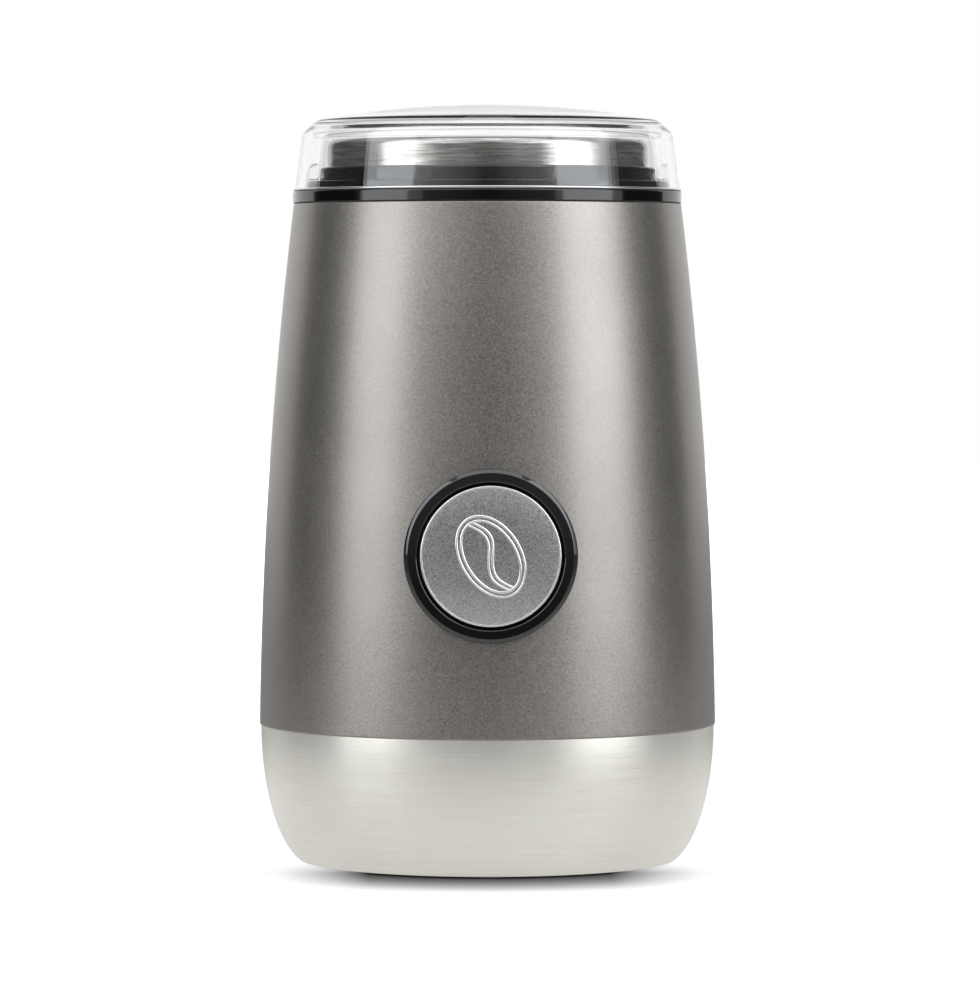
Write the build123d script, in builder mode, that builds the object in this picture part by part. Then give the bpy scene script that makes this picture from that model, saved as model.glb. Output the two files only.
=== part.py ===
from build123d import *
from math import asin, cos, pi, radians, sin, sqrt, tan
import os

os.makedirs("parts", exist_ok=True)

# Electric coffee grinder, in millimetres.
# The origin is on the motor axis at floor level, +Z is up and the button faces -Y.
# Heights build up from the feet through the motor to the lid,
# and radii build out from the grinding bowl to the steel ring.

# Fits
slip_fit = 0.05  # pieces of one body that slide together once
run_gap = 0.3  # between pieces that move past each other
pin_gap = 0.1  # round pins, rods and plungers in their holes

# Steel ring at the foot
ring_lift = 0.8  # floor to the ring's lower edge
seam_height = 30.3  # floor to the seam with the painted shell
seam_step = 0.3  # how far the ring sits back from the shell
ring_round = 11.5  # how far the side curves in on its way down
ring_round_sweep = 75.3  # degrees of the ellipse that are used
ring_hem = 1.6  # slanted return at the lower edge
ring_flange = 7.6  # flat flange that the cover is screwed against
steel_sheet = 0.7
ring_inner_flats = 3  # straight draws on the hidden inner side

# Bottom cover and feet
cover_lift = 1.4  # floor to the cover's underside
cover_thickness = 1.8
cover_gap = 0.3  # to the ring's hem
foot_radius = 4.5
foot_circle = 29.0
vent_count = 12
vent_circle = 16.5
vent_length = 12.0
vent_width = 2.4

# Painted shell
shell_flare = 7.6  # bottom radius over top radius
shell_bulge = 1.55  # how far the side stands out from a straight cone
shell_wall = 1.8

# Grinding bowl
bowl_radius = 31.6  # inside the cup
bowl_depth = 42.3
bowl_corner = 8.0
bowl_rim_width = 3.0
bowl_rim_bevel = 0.9
bowl_band = 8.8  # height of the rim's outer band
bowl_hole = 5.2

# Black collar between shell and lid
collar_margin = 0.3  # collar's edge outside the lid's
collar_overhang = 0.1  # collar's edge outside the shell's
collar_thickness = 2.4
collar_tab = 3.9  # tabs that drop into the shell
collar_tab_wall = 1.5
collar_tab_width = 12.0
collar_edge = 0.5
upstand_wall = 2.1
upstand_height = 4.9
rim_above_upstand = 6.1
lid_rib_height = 1.8
lid_rib_wall = 1.2

# Clear lid
lid_draft = 1.7  # how far the side leans in
lid_side_height = 12.7
lid_chamfer_width = 3.3
lid_chamfer_height = 3.1
lid_dome = 3.1
lid_wall = 2.0
lid_lug_height = 3.7
lid_lug_width = 4.4
lid_lug_lift = 2.2  # lug's underside over the lid's rim
lid_finger = 1.1  # how far a finger reaches below the rim
lid_gap = 0.2  # lid to its locating rib

# Push button and bezel, measured outwards from the motor axis
button_height = 69.3
bezel_stand = 2.0  # bezel's front over the shell's surface
bezel_length = 8.1
bezel_flange = 1.2  # flange outside the tube
bezel_tube_wall = 1.6
bezel_bore = 15.4
bezel_bevel = 0.8
bezel_hole_gap = 0.2
guide_thickness = 1.2
cap_gap = 0.4
cap_edge_drop = 0.2  # cap's edge behind the bezel's front
cap_dome = 0.6
cap_chamfer = 0.5
cap_wall = 1.6
cap_depth = 3.8
cap_socket_wall = 1.6
cap_socket_depth = 2.6
button_travel = 2.0
stem_width = 4.0
stem_head_width = 5.4
stem_head_length = 0.5

# Switches
switch_length = 20.0
switch_thickness = 6.4
switch_depth = 10.0
peg_radius = 1.45
peg_offset = 5.0
peg_inset = 3.5  # pegs from the switch's back
shelf_inset = 1.0  # shelf's edge behind the switch's front
plunger_width = 3.0
plunger_stand_off = 2.7  # plunger's tip in front of its switch
plunger_bore_depth = 4.0
terminal_length = 4.0
terminal_width = 4.8
terminal_thickness = 0.8
lever_thickness = 0.5
lever_width = 4.0
lever_length = 13.0
lever_pivot = 8.0  # from the interlock rod, along Y
lever_lift = 1.1  # pivot over the switch's top
lever_pin = 0.7
ear_wall = 1.0
ear_radius = 1.3

# Interlock rod between the lid's finger and its switch
rod_width = 2.4
rod_to_lid = 0.8
rod_margin = 0.3  # rod to the collar's upstand
rod_reach = 6.0  # switch's top below the deck
rod_shoulder_width = 5.2
rod_shoulder_height = 5.0
rod_shoulder_thickness = 2.0
rod_guide_wall = 1.0
rod_guide_height = 11.5
rod_guide_length = 6.0
slot_margin = 0.2
slot_width = 5.2

# Inner frame
frame_gap = 0.25
frame_ring_thickness = 3.0
frame_lip_height = 4.0
frame_lip_wall = 2.0
frame_lip_width = 14.0
frame_boss_radius = 3.5
post_inset_x = 11.0  # post centres inside the deck's edge
post_inset_y = 18.0
post_size = 6.5
post_chamfer = 1.5
deck_gap = 1.7
deck_thickness = 2.5
well_gap = 0.7
well_wall = 2.4
seal_height = 2.8
seal_ring_inner = 8.0
seal_ring_wall = 4.0
tab_width = 22.0
mount_height = 7.0
mount_radius = 4.0
damper_thickness = 2.0

# Motor, from the fan up
fan_floor = 8.8  # cover to fan
fan_radius = 26.0
fan_disc = 1.2
fan_blade_height = 7.0
fan_blade_count = 9
fan_blade_length = 16.0
fan_blade_wall = 1.2
fan_blade_lean = 28.0
fan_hub_radius = 6.0
fan_to_hub = 7.8
shaft_radius = 3.0
shaft_tail = 2.0
shoulder_radius = 4.5
hub_radius = 8.0
hub_drop = 8.0
hub_rise = 6.5
bush_radius = 5.5
bracket_thickness = 4.0
bracket_width = 16.0
arm_width = 10.0
arm_thickness = 5.0
lower_arm = 24.0
upper_arm = 9.0
stator_stack = 24.0
stator_side_gap = 2.0
stator_front_step = 1.0
stator_corner = 12.0
window_corner = 5.0
yoke_wall = 6.0
air_gap = 0.4
shoe_thickness = 3.1
shoe_half_angle = 55.0
neck_width = 16.0
coil_thickness = 3.9
coil_margin = 4.0
coil_overhang = 6.0
coil_corner = 4.0
core_slots = 12
core_slot_depth = 5.6
core_slot_width = 2.4
winding_inset = 2.0
winding_height = 7.0
winding_taper = 15.0
bolt_radius = 1.5
bolt_head_radius = 2.8
bolt_head_height = 2.0
bolt_grip = 5.0  # thread in the deck's boss
commutator_radius = 9.0
commutator_gap = 0.8
commutator_length = 11.0
commutator_riser = 1.0
brush_plate_thickness = 2.5
brush_plate_length = 54.0
brush_plate_width = 34.0
brush_plate_corner = 6.0
holder_size = 8.0
holder_wall = 1.2
holder_start = 2.0  # from the commutator
holder_length = 14.0
brush_length = 7.5

# Blade
blade_hub_radius = 7.0
blade_hub_height = 4.4
blade_hub_taper = 20.0
blade_span = 57.0
blade_width = 10.0
blade_tip_width = 6.0
blade_thickness = 1.3
blade_flat = 9.0  # half length of the flat middle
blade_rise = 5.0
nut_width = 9.0
nut_height = 3.4
nut_crown = 1.2
nut_crown_taper = 35.0

# Cord entry in the back of the shell
gland_rise = 1.2  # inner flange over the frame's lip
gland_flange_radius = 6.5
gland_neck_radius = 4.8
gland_bore = 3.2
gland_flange = 1.8
clamp_length = 20.0
clamp_width = 6.0
clamp_inset = 4.6
clamp_thickness = 6.0
clamp_screw_offset = 6.8

# Circuit board behind the motor
board_side = 1.0  # board's edges inside the posts' centres
board_thickness = 1.6
rail_width = 2.4
rail_depth = 2.8
rail_lip = 1.0
board_bottom = 60.0
board_height = 32.0
capacitor_length = 18.0
capacitor_height = 14.0
capacitor_depth = 8.5
terminal_block_length = 15.0
terminal_block_height = 10.0
terminal_block_depth = 8.0
terminal_block_ways = 3
board_part_offset = 11.0
board_part_height = 14.0

# Screws and springs
screw_shank = 1.4
screw_head = 2.7
screw_head_height = 1.0
screw_head_sides = 12
screw_reach = 7.0
spring_wire = 0.6
spring_turns = 4.0
spring_sides = 8
button_spring_gap = 0.4
leaf_folds = 6
leaf_height = 1.4  # measured upright across the slanting strip
leaf_width = 4.0

# Heights, from the floor up
cover_top = cover_lift + cover_thickness
flange_top = cover_top + steel_sheet
fan_bottom = cover_top + fan_floor
fan_top = fan_bottom + fan_disc + fan_blade_height
lower_hub_bottom = fan_top + fan_to_hub
lower_bar_bottom = lower_hub_bottom + hub_drop
lower_bar_top = lower_bar_bottom + bracket_thickness
stator_bottom = lower_bar_top + lower_arm
stator_top = stator_bottom + stator_stack
stator_middle = stator_bottom + stator_stack / 2
upper_bar_bottom = stator_top + upper_arm
upper_bar_top = upper_bar_bottom + bracket_thickness
mount_bottom = upper_bar_top + damper_thickness
deck_bottom = mount_bottom + mount_height
deck_top = deck_bottom + deck_thickness
bowl_underside = deck_top + seal_height
bowl_floor = bowl_underside + steel_sheet
bowl_rim_top = bowl_floor + bowl_depth
upstand_top = bowl_rim_top - rim_above_upstand
collar_top = upstand_top - upstand_height
shell_top = collar_top - collar_thickness
shell_height = shell_top - seam_height
shell_middle = seam_height + shell_height / 2
bowl_band_bottom = bowl_rim_top - bowl_band
lid_shoulder = collar_top + lid_side_height
lid_edge = lid_shoulder + lid_chamfer_height
finger_bottom = collar_top - lid_finger
lug_bottom = collar_top + lid_lug_lift
shaft_bottom = fan_bottom - shaft_tail
brush_plate_top = lower_bar_top + brush_plate_thickness
brush_height = brush_plate_top + holder_size / 2
commutator_bottom = brush_plate_top + commutator_gap
winding_bottom = stator_bottom - winding_height
winding_top = stator_top + winding_height
blade_hub_bottom = bowl_floor + run_gap
blade_bottom = blade_hub_bottom + blade_hub_height
blade_top = blade_bottom + blade_thickness

# Radii, from the bowl out
bowl_outer = bowl_radius + steel_sheet
bowl_band_radius = bowl_radius + bowl_rim_width
upstand_inner = bowl_band_radius + pin_gap
upstand_radius = upstand_inner + upstand_wall
well_inner = bowl_outer + well_gap
well_outer = well_inner + well_wall
rod_offset = upstand_radius + rod_margin + rod_width / 2
lid_radius = rod_offset + rod_width / 2 + rod_to_lid + lid_wall
lid_shoulder_radius = lid_radius - lid_draft
lid_edge_radius = lid_shoulder_radius - lid_chamfer_width
collar_radius = lid_radius + collar_margin
shell_top_radius = collar_radius - collar_overhang
shell_bottom_radius = shell_top_radius + shell_flare
ring_seam_radius = shell_bottom_radius - seam_step
ring_centre = ring_seam_radius - ring_round
ring_drop = (seam_height - ring_lift) / sin(radians(ring_round_sweep))
ring_edge_radius = ring_centre + ring_round * cos(radians(ring_round_sweep))
hem_radius = ring_edge_radius - ring_hem
hem_inner = hem_radius + steel_sheet / 2
flange_inner = hem_inner - ring_flange
cover_radius = hem_radius - cover_gap
cover_screw_circle = hem_inner - ring_flange / 2
slot_inner = rod_offset - rod_width / 2 - slot_margin
slot_outer = lid_radius - lid_wall + slot_margin

# The shell's side is one shallow arc, given by its chord and its bulge
chord = sqrt(shell_flare**2 + shell_height**2)
side_radius = (chord**2 / 4 + shell_bulge**2) / (2 * shell_bulge)
centre_back = (side_radius - shell_bulge) / chord
side_centre_r = (shell_bottom_radius + shell_top_radius) / 2 - centre_back * shell_height
side_centre_z = shell_middle - centre_back * shell_flare


def shell_radius(height):
    """Outer radius of the painted shell at a height above the floor."""
    return side_centre_r + sqrt(side_radius**2 - (height - side_centre_z) ** 2)


def shell_bore(height):
    """Inner radius of the shell, which is drawn with two straight drafts."""
    middle = shell_radius(shell_middle)
    end = shell_bottom_radius if height < shell_middle else shell_top_radius
    share = abs(height - shell_middle) / (shell_height / 2)
    return middle + (end - middle) * share - shell_wall


def lid_bore(height):
    """Inner radius of the lid's side wall at a height above the floor."""
    lean = lid_draft / lid_side_height
    return lid_radius - lid_wall - lean * (height - collar_top)


# Inside the shell
deck_radius = shell_bore(deck_top) - deck_gap
post_x = deck_radius - post_inset_x
post_y = deck_radius - post_inset_y
post_face = post_y + post_size / 2
post_spots = [(x, y) for x in (-post_x, post_x) for y in (-post_y, post_y)]
frame_ring_inner = cover_screw_circle + frame_boss_radius - frame_gap
frame_ring_outer = ring_seam_radius - steel_sheet - frame_gap
lip_corner = shell_bore(seam_height + frame_lip_height) - frame_gap
lip_reach = sqrt(lip_corner**2 - frame_lip_width**2 / 4) - frame_lip_wall / 2

# Motor
stator_length = 2 * (post_x - stator_side_gap)
stator_width = 2 * (post_y + stator_front_step)
window_x = stator_length / 2 - yoke_wall
window_y = stator_width / 2 - yoke_wall
shoe_outer = window_x - coil_thickness - 2 * run_gap
stator_bore = shoe_outer - shoe_thickness
rotor_radius = stator_bore - air_gap
bolt_offset = stator_width / 2 - yoke_wall / 2
bolt_spots = [(0, -bolt_offset), (0, bolt_offset)]
bolt_hole = bolt_radius + pin_gap
shaft_hole = shaft_radius + slip_fit
brush_start = commutator_radius + run_gap
brush_end = brush_start + brush_length
holder_front = commutator_radius + holder_start
holder_back = holder_front + holder_length
brush_size = holder_size - 2 * holder_wall - 2 * pin_gap

# Button and switches
bezel_front = shell_radius(button_height) + bezel_stand
bezel_tube = bezel_bore + bezel_tube_wall
bezel_radius = bezel_tube + bezel_flange
guide_back = bezel_front - bezel_length
guide_front = guide_back + guide_thickness
cap_radius = bezel_bore - cap_gap
cap_edge = bezel_front - cap_edge_drop
cap_inside = cap_edge + cap_dome / 2 - cap_wall
cap_socket_width = stem_width + 2 * cap_socket_wall
stem_back = guide_back - run_gap
plunger_tip = stem_back - stem_head_length - pin_gap
switch_front = plunger_tip - plunger_stand_off
switch_back = switch_front - switch_depth
switch_bottom = button_height - switch_thickness / 2
switch_pegs = [(x, -switch_back - peg_inset) for x in (-peg_offset, peg_offset)]
carrier_thickness = switch_back - post_face
board_length = 2 * (post_x - board_side)
tab_outer = rod_offset - switch_thickness / 2
tab_inner = well_inner + pin_gap
lid_switch_top = deck_bottom - rod_reach
lid_switch_bottom = lid_switch_top - switch_depth
pivot_height = lid_switch_top + lever_lift
rod_bottom = pivot_height + lever_thickness / 2 + 2 * pin_gap
rod_top = finger_bottom - pin_gap
gland_height = seam_height + frame_lip_height + gland_flange_radius + gland_rise
clamp_far = shell_bore(gland_height) - clamp_inset
clamp_middle = clamp_far - clamp_width / 2
clamp_screws_at = [(-clamp_screw_offset, clamp_middle), (clamp_screw_offset, clamp_middle)]

# Planes of the button, of the cord entry and of the lid switch's pegs
button_plane = Plane(origin=(0, 0, button_height), x_dir=(1, 0, 0), z_dir=(0, -1, 0))
button_section = Plane(origin=(0, 0, button_height), x_dir=(0, -1, 0), z_dir=(-1, 0, 0))
button_axis = Axis((0, 0, button_height), (0, -1, 0))
gland_plane = Plane(origin=(0, 0, gland_height), x_dir=(-1, 0, 0), z_dir=(0, 1, 0))
tab_plane = Plane(
    origin=(tab_outer, 0, lid_switch_bottom + peg_inset), x_dir=(0, 1, 0), z_dir=(1, 0, 0)
)


def level(height):
    """Horizontal plane at a height above the floor."""
    return Plane.XY.offset(height)


def round_bar(plane, radius, length, spots=((0, 0),), mode=Mode.ADD):
    """Round bars or holes that stand on a plane, in the part being built."""
    with BuildSketch(plane) as outline:
        with Locations(*spots):
            Circle(radius)
    extrude(outline.sketch, amount=length, mode=mode)


def block(plane, length, width, height, spots=((0, 0),), mode=Mode.ADD):
    """Rectangular blocks or pockets that stand on a plane, in the part being built."""
    with BuildSketch(plane) as outline:
        with Locations(*spots):
            Rectangle(length, width)
    extrude(outline.sketch, amount=height, mode=mode)


def flat_sided(plane, radius, length, spots=((0, 0),), sides=8, mode=Mode.ADD):
    """Bars or holes with flats at a radius, in the part being built."""
    with BuildSketch(plane) as outline:
        with Locations(*spots):
            RegularPolygon(radius, sides, major_radius=False)
    extrude(outline.sketch, amount=length, mode=mode)


def screws(plane, spots, reach):
    """Screws whose heads lie under a plane and whose shanks rise from it."""
    flat_sided(plane, screw_head, -screw_head_height, spots, screw_head_sides)
    flat_sided(plane, screw_shank, reach, spots)


def coil_spring(seat, length, radius):
    """Open coil spring between two seats, each turn drawn with straight chords."""
    steps = int(spring_turns * spring_sides)
    rise = (length - spring_wire - 2 * pin_gap) / steps
    points = []
    for step in range(steps + 1):
        angle = 2 * pi * step / spring_sides
        height = spring_wire / 2 + pin_gap + rise * step
        points.append(seat.from_local_coords((radius * cos(angle), radius * sin(angle), height)))
    with BuildLine() as path:
        Polyline(*points)
    with BuildSketch(Plane(origin=path.line @ 0, z_dir=path.line % 0)) as wire:
        Rectangle(spring_wire, spring_wire)
    sweep(wire.sketch, path=path.line, transition=Transition.RIGHT)


def quarter_spots(radius, turn):
    """Four places on a circle, a quarter turn apart."""
    angles = [radians(turn + 90 * quarter) for quarter in range(4)]
    return [(radius * cos(angle), radius * sin(angle)) for angle in angles]


# Steel ring: a drawn side, a slanted hem and a flat flange with screw holes
cover_screw_spots = quarter_spots(cover_screw_circle, 0)
hole = screw_shank + pin_gap
hem_fold = ring_lift + 1.35 * steel_sheet
with BuildPart() as base_ring:
    with BuildSketch(Plane.XZ):
        with BuildLine():
            EllipticalCenterArc(
                (ring_centre, seam_height),
                ring_round,
                ring_drop,
                start_angle=-ring_round_sweep,
                arc_size=ring_round_sweep,
            )
            outline = [
                (ring_edge_radius, ring_lift),
                (hem_radius, cover_top),
                (flange_inner, cover_top),
                (flange_inner, flange_top),
                (hem_inner, flange_top),
            ]
            fold_angle = asin((seam_height - hem_fold) / (ring_drop - steel_sheet))
            for step in range(ring_inner_flats + 1):
                angle = fold_angle * (1 - step / ring_inner_flats)
                inner_r = ring_centre + (ring_round - steel_sheet) * cos(angle)
                inner_z = seam_height - (ring_drop - steel_sheet) * sin(angle)
                outline.append((inner_r, inner_z))
            outline.append((ring_seam_radius, seam_height))
            Polyline(*outline)
        make_face()
    revolve(axis=Axis.Z)
    flat_sided(level(cover_top), hole, steel_sheet, cover_screw_spots, mode=Mode.SUBTRACT)
base_ring.part.label = "base_ring"
export_step(base_ring.part, "parts/base_ring.step")

# Bottom cover with cooling slots and screw holes
foot_spots = quarter_spots(foot_circle, 45)
with BuildPart() as bottom_cover:
    round_bar(level(cover_lift), cover_radius, cover_thickness)
    with BuildSketch(level(cover_lift)):
        with PolarLocations(vent_circle, vent_count):
            Rectangle(vent_length, vent_width)
    extrude(amount=cover_thickness, mode=Mode.SUBTRACT)
    flat_sided(level(cover_lift), hole, cover_thickness, cover_screw_spots, mode=Mode.SUBTRACT)
bottom_cover.part.label = "bottom_cover"
export_step(bottom_cover.part, "parts/bottom_cover.step")

# Four rubber feet stuck under the cover
with BuildPart() as rubber_feet:
    round_bar(level(0), foot_radius, cover_lift, foot_spots)
rubber_feet.part.label = "rubber_feet"
export_step(rubber_feet.part, "parts/rubber_feet.step")

# Screws that clamp cover and steel ring against the inner frame
with BuildPart() as cover_screws:
    screws(level(cover_lift), cover_screw_spots, screw_reach)
cover_screws.part.label = "cover_screws"
export_step(cover_screws.part, "parts/cover_screws.step")

# The shell before its holes are cut, and the same filled to the axis for cutting saddles
with BuildPart() as shell_blank:
    with BuildSketch(Plane.XZ):
        with BuildLine():
            SagittaArc(
                (shell_bottom_radius, seam_height), (shell_top_radius, shell_top), -shell_bulge
            )
            Polyline(
                (shell_top_radius, shell_top),
                (shell_bore(shell_top), shell_top),
                (shell_bore(shell_middle), shell_middle),
                (shell_bore(seam_height), seam_height),
                (shell_bottom_radius, seam_height),
            )
        make_face()
    revolve(axis=Axis.Z)
with BuildPart() as shell_fill:
    with BuildSketch(Plane.XZ):
        with BuildLine():
            SagittaArc(
                (shell_bottom_radius, seam_height), (shell_top_radius, shell_top), -shell_bulge
            )
            Polyline(
                (shell_top_radius, shell_top),
                (0, shell_top),
                (0, seam_height),
                (shell_bottom_radius, seam_height),
            )
        make_face()
    revolve(axis=Axis.Z)

# Painted shell with the button's hole in front and the cord's at the back
with BuildPart() as outer_shell:
    add(shell_blank.part)
    round_bar(button_plane, bezel_tube + bezel_hole_gap, bezel_front, mode=Mode.SUBTRACT)
    round_bar(gland_plane, gland_neck_radius + slip_fit, bezel_front, mode=Mode.SUBTRACT)
outer_shell.part.label = "outer_shell"
export_step(outer_shell.part, "parts/outer_shell.step")

# Glossy collar: flange on the shell, tabs inside it, upstand round the bowl's band
rib_outer = lid_bore(collar_top + lid_rib_height) - lid_gap
tab_corner = shell_bore(shell_top) - frame_gap
tab_reach = sqrt(tab_corner**2 - collar_tab_width**2 / 4) - collar_tab_wall / 2
with BuildPart() as collar:
    with BuildSketch(Plane.XZ):
        with BuildLine():
            Polyline(
                (well_inner + pin_gap, shell_top),
                (collar_radius, shell_top),
                (collar_radius, collar_top - collar_edge),
                (collar_radius - collar_edge, collar_top),
                (rib_outer, collar_top),
                (rib_outer, collar_top + lid_rib_height),
                (rib_outer - lid_rib_wall, collar_top + lid_rib_height),
                (rib_outer - lid_rib_wall, collar_top),
                (upstand_radius, collar_top),
                (upstand_radius, upstand_top),
                (upstand_inner, upstand_top),
                (upstand_inner, bowl_band_bottom),
                (well_inner + pin_gap, bowl_band_bottom),
                close=True,
            )
        make_face()
    revolve(axis=Axis.Z)
    block(
        level(shell_top),
        slot_outer - slot_inner,
        slot_width,
        upstand_height,
        [((slot_inner + slot_outer) / 2, 0), (-(slot_inner + slot_outer) / 2, 0)],
        Mode.SUBTRACT,
    )
    with BuildSketch(level(shell_top)):
        with PolarLocations(tab_reach, 4, start_angle=45):
            Rectangle(collar_tab_wall, collar_tab_width)
    extrude(amount=-collar_tab)
collar.part.label = "collar"
export_step(collar.part, "parts/collar.step")

# Stainless grinding bowl: a deep cup with its rim turned out and down as a closed hem
corner_flat = (bowl_corner + steel_sheet) * (1 - tan(pi / 8))
with BuildPart() as grinding_bowl:
    with BuildSketch(Plane.XZ):
        with BuildLine():
            Line((bowl_hole, bowl_floor), (bowl_radius - bowl_corner, bowl_floor))
            TangentArc(
                (bowl_radius - bowl_corner, bowl_floor),
                (bowl_radius, bowl_floor + bowl_corner),
                tangent=(1, 0),
            )
            Polyline(
                (bowl_radius, bowl_floor + bowl_corner),
                (bowl_radius, bowl_rim_top - bowl_rim_bevel),
                (bowl_radius + bowl_rim_bevel, bowl_rim_top),
                (bowl_band_radius - bowl_rim_bevel, bowl_rim_top),
                (bowl_band_radius, bowl_rim_top - bowl_rim_bevel),
                (bowl_band_radius, bowl_band_bottom),
                (bowl_outer, bowl_band_bottom),
                (bowl_outer, bowl_underside + corner_flat),
                (bowl_outer - corner_flat, bowl_underside),
                (bowl_hole, bowl_underside),
                (bowl_hole, bowl_floor),
            )
        make_face()
    revolve(axis=Axis.Z)
grinding_bowl.part.label = "grinding_bowl"
export_step(grinding_bowl.part, "parts/grinding_bowl.step")

# Inner frame: seam ring with tabs, screw bosses, four posts, deck, bowl well and guides
with BuildPart() as inner_frame:
    with BuildSketch(Plane.XZ):
        with BuildLine():
            Polyline(
                (frame_ring_inner, seam_height - frame_ring_thickness),
                (frame_ring_outer, seam_height - frame_ring_thickness),
                (frame_ring_outer, seam_height),
                (frame_ring_inner, seam_height),
                close=True,
            )
        make_face()
    revolve(axis=Axis.Z)
    with BuildSketch(level(seam_height)):
        with PolarLocations(lip_reach, 4, start_angle=45):
            Rectangle(frame_lip_wall, frame_lip_width)
    extrude(amount=frame_lip_height)
    flat_sided(level(flange_top), frame_boss_radius, seam_height - flange_top, cover_screw_spots)
    with BuildSketch(level(seam_height - frame_ring_thickness)):
        with Locations(*post_spots):
            Rectangle(post_size, post_size)
        chamfer(vertices(), post_chamfer)
    extrude(amount=deck_bottom - seam_height + frame_ring_thickness)
    round_bar(level(deck_bottom), deck_radius, deck_thickness)
    round_bar(level(deck_top), well_outer, shell_top - deck_top)
    round_bar(level(deck_top), well_inner, shell_top - deck_top, mode=Mode.SUBTRACT)
    flat_sided(level(deck_top), seal_ring_inner + seal_ring_wall, seal_height)
    round_bar(level(deck_top), seal_ring_inner, seal_height, mode=Mode.SUBTRACT)
    round_bar(level(deck_bottom), bush_radius, deck_thickness, mode=Mode.SUBTRACT)
    flat_sided(level(mount_bottom), mount_radius, mount_height, bolt_spots)
    guide_bottom = deck_top + rod_guide_height
    guide_width = rod_width + 2 * rod_guide_wall
    guide_length = rod_offset + guide_width / 2 - well_inner - well_gap
    block(
        level(guide_bottom),
        guide_length,
        guide_width,
        rod_guide_length,
        [(rod_offset + guide_width / 2 - guide_length / 2, 0)],
    )
    tab_height = deck_bottom - lid_switch_bottom
    block(
        level(lid_switch_bottom),
        tab_outer - tab_inner,
        tab_width,
        tab_height,
        [((tab_outer + tab_inner) / 2, 0)],
    )
    pegs = [(-peg_offset, 0), (peg_offset, 0)]
    flat_sided(tab_plane, peg_radius, switch_thickness, pegs)
    block(
        level(seam_height - frame_ring_thickness),
        clamp_length,
        clamp_width,
        gland_height - seam_height + frame_ring_thickness,
        [(0, clamp_middle)],
    )
    for side in (1, -1):
        rail_plane = Plane.XZ.offset(-post_face)
        rail_middle = board_bottom + board_height / 2
        rail_x = side * (board_length / 2 + rail_width / 2 + slip_fit)
        block(rail_plane, rail_width, board_height, -rail_depth, [(rail_x, rail_middle)])
        lip_x = side * (board_length / 2 + rail_width / 2 - rail_lip / 2)
        lip_plane = rail_plane.offset(-board_thickness - slip_fit)
        lip_width = rail_width + rail_lip
        block(lip_plane, lip_width, rail_lip, board_thickness - rail_depth, [(lip_x, rail_middle)])
    wall_height = 3 * switch_thickness
    block(button_plane.offset(post_face), 2 * post_x, wall_height, carrier_thickness)
    block(
        button_plane.offset(post_face),
        switch_length,
        carrier_thickness,
        switch_front - post_face - shelf_inset,
        [(0, -switch_thickness / 2 - carrier_thickness / 2)],
    )
    flat_sided(level(switch_bottom), peg_radius, switch_thickness, switch_pegs)
    rod_hole = rod_width + 2 * pin_gap
    block(level(deck_bottom), rod_hole, rod_hole, shell_top, [(rod_offset, 0)], Mode.SUBTRACT)
    flat_sided(level(flange_top), hole, screw_reach, cover_screw_spots, mode=Mode.SUBTRACT)
    flat_sided(level(mount_bottom), bolt_hole, bolt_grip + 1.0, bolt_spots, mode=Mode.SUBTRACT)
    flat_sided(level(gland_height), hole, -screw_reach, clamp_screws_at, mode=Mode.SUBTRACT)
    round_bar(gland_plane, gland_bore, clamp_far, mode=Mode.SUBTRACT)
inner_frame.part.label = "inner_frame"
export_step(inner_frame.part, "parts/inner_frame.step")

# Rubber seal round the shaft, in the deck's ring under the bowl
with BuildPart() as shaft_seal:
    round_bar(level(deck_top), seal_ring_inner - slip_fit, seal_height)
    round_bar(level(deck_top), shaft_radius + run_gap, seal_height, mode=Mode.SUBTRACT)
shaft_seal.part.label = "shaft_seal"
export_step(shaft_seal.part, "parts/shaft_seal.step")

# Cord gland: a flange on each side of the shell's wall, a neck and the cord's bore
inner_seat = sqrt(shell_bore(gland_height + gland_flange_radius) ** 2 - gland_flange_radius**2)
outer_seat = shell_radius(gland_height - gland_flange_radius)
with BuildPart() as cord_gland:
    gland_start = gland_plane.offset(inner_seat - gland_flange)
    gland_length = outer_seat - inner_seat + 2 * gland_flange
    round_bar(gland_start, gland_flange_radius, gland_flange)
    round_bar(gland_plane.offset(outer_seat), gland_flange_radius, gland_flange)
    round_bar(gland_start, gland_neck_radius, gland_length)
    round_bar(gland_start, gland_bore, gland_length, mode=Mode.SUBTRACT)
cord_gland.part.label = "cord_gland"
export_step(cord_gland.part, "parts/cord_gland.step")

# Cord clamp on the frame's seat, with its two screws
with BuildPart() as cord_clamp:
    block(level(gland_height), clamp_length, clamp_width, clamp_thickness, [(0, clamp_middle)])
    round_bar(gland_plane, gland_bore, clamp_far, mode=Mode.SUBTRACT)
    flat_sided(level(gland_height), hole, clamp_thickness, clamp_screws_at, mode=Mode.SUBTRACT)
cord_clamp.part.label = "cord_clamp"
export_step(cord_clamp.part, "parts/cord_clamp.step")

with BuildPart() as clamp_screws:
    clamp_top = Plane(
        origin=(0, 0, gland_height + clamp_thickness), x_dir=(1, 0, 0), z_dir=(0, 0, -1)
    )
    flipped = [(x, -y) for x, y in clamp_screws_at]
    screws(clamp_top, flipped, clamp_thickness + screw_reach - 1.0)
clamp_screws.part.label = "clamp_screws"
export_step(clamp_screws.part, "parts/clamp_screws.step")

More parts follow.
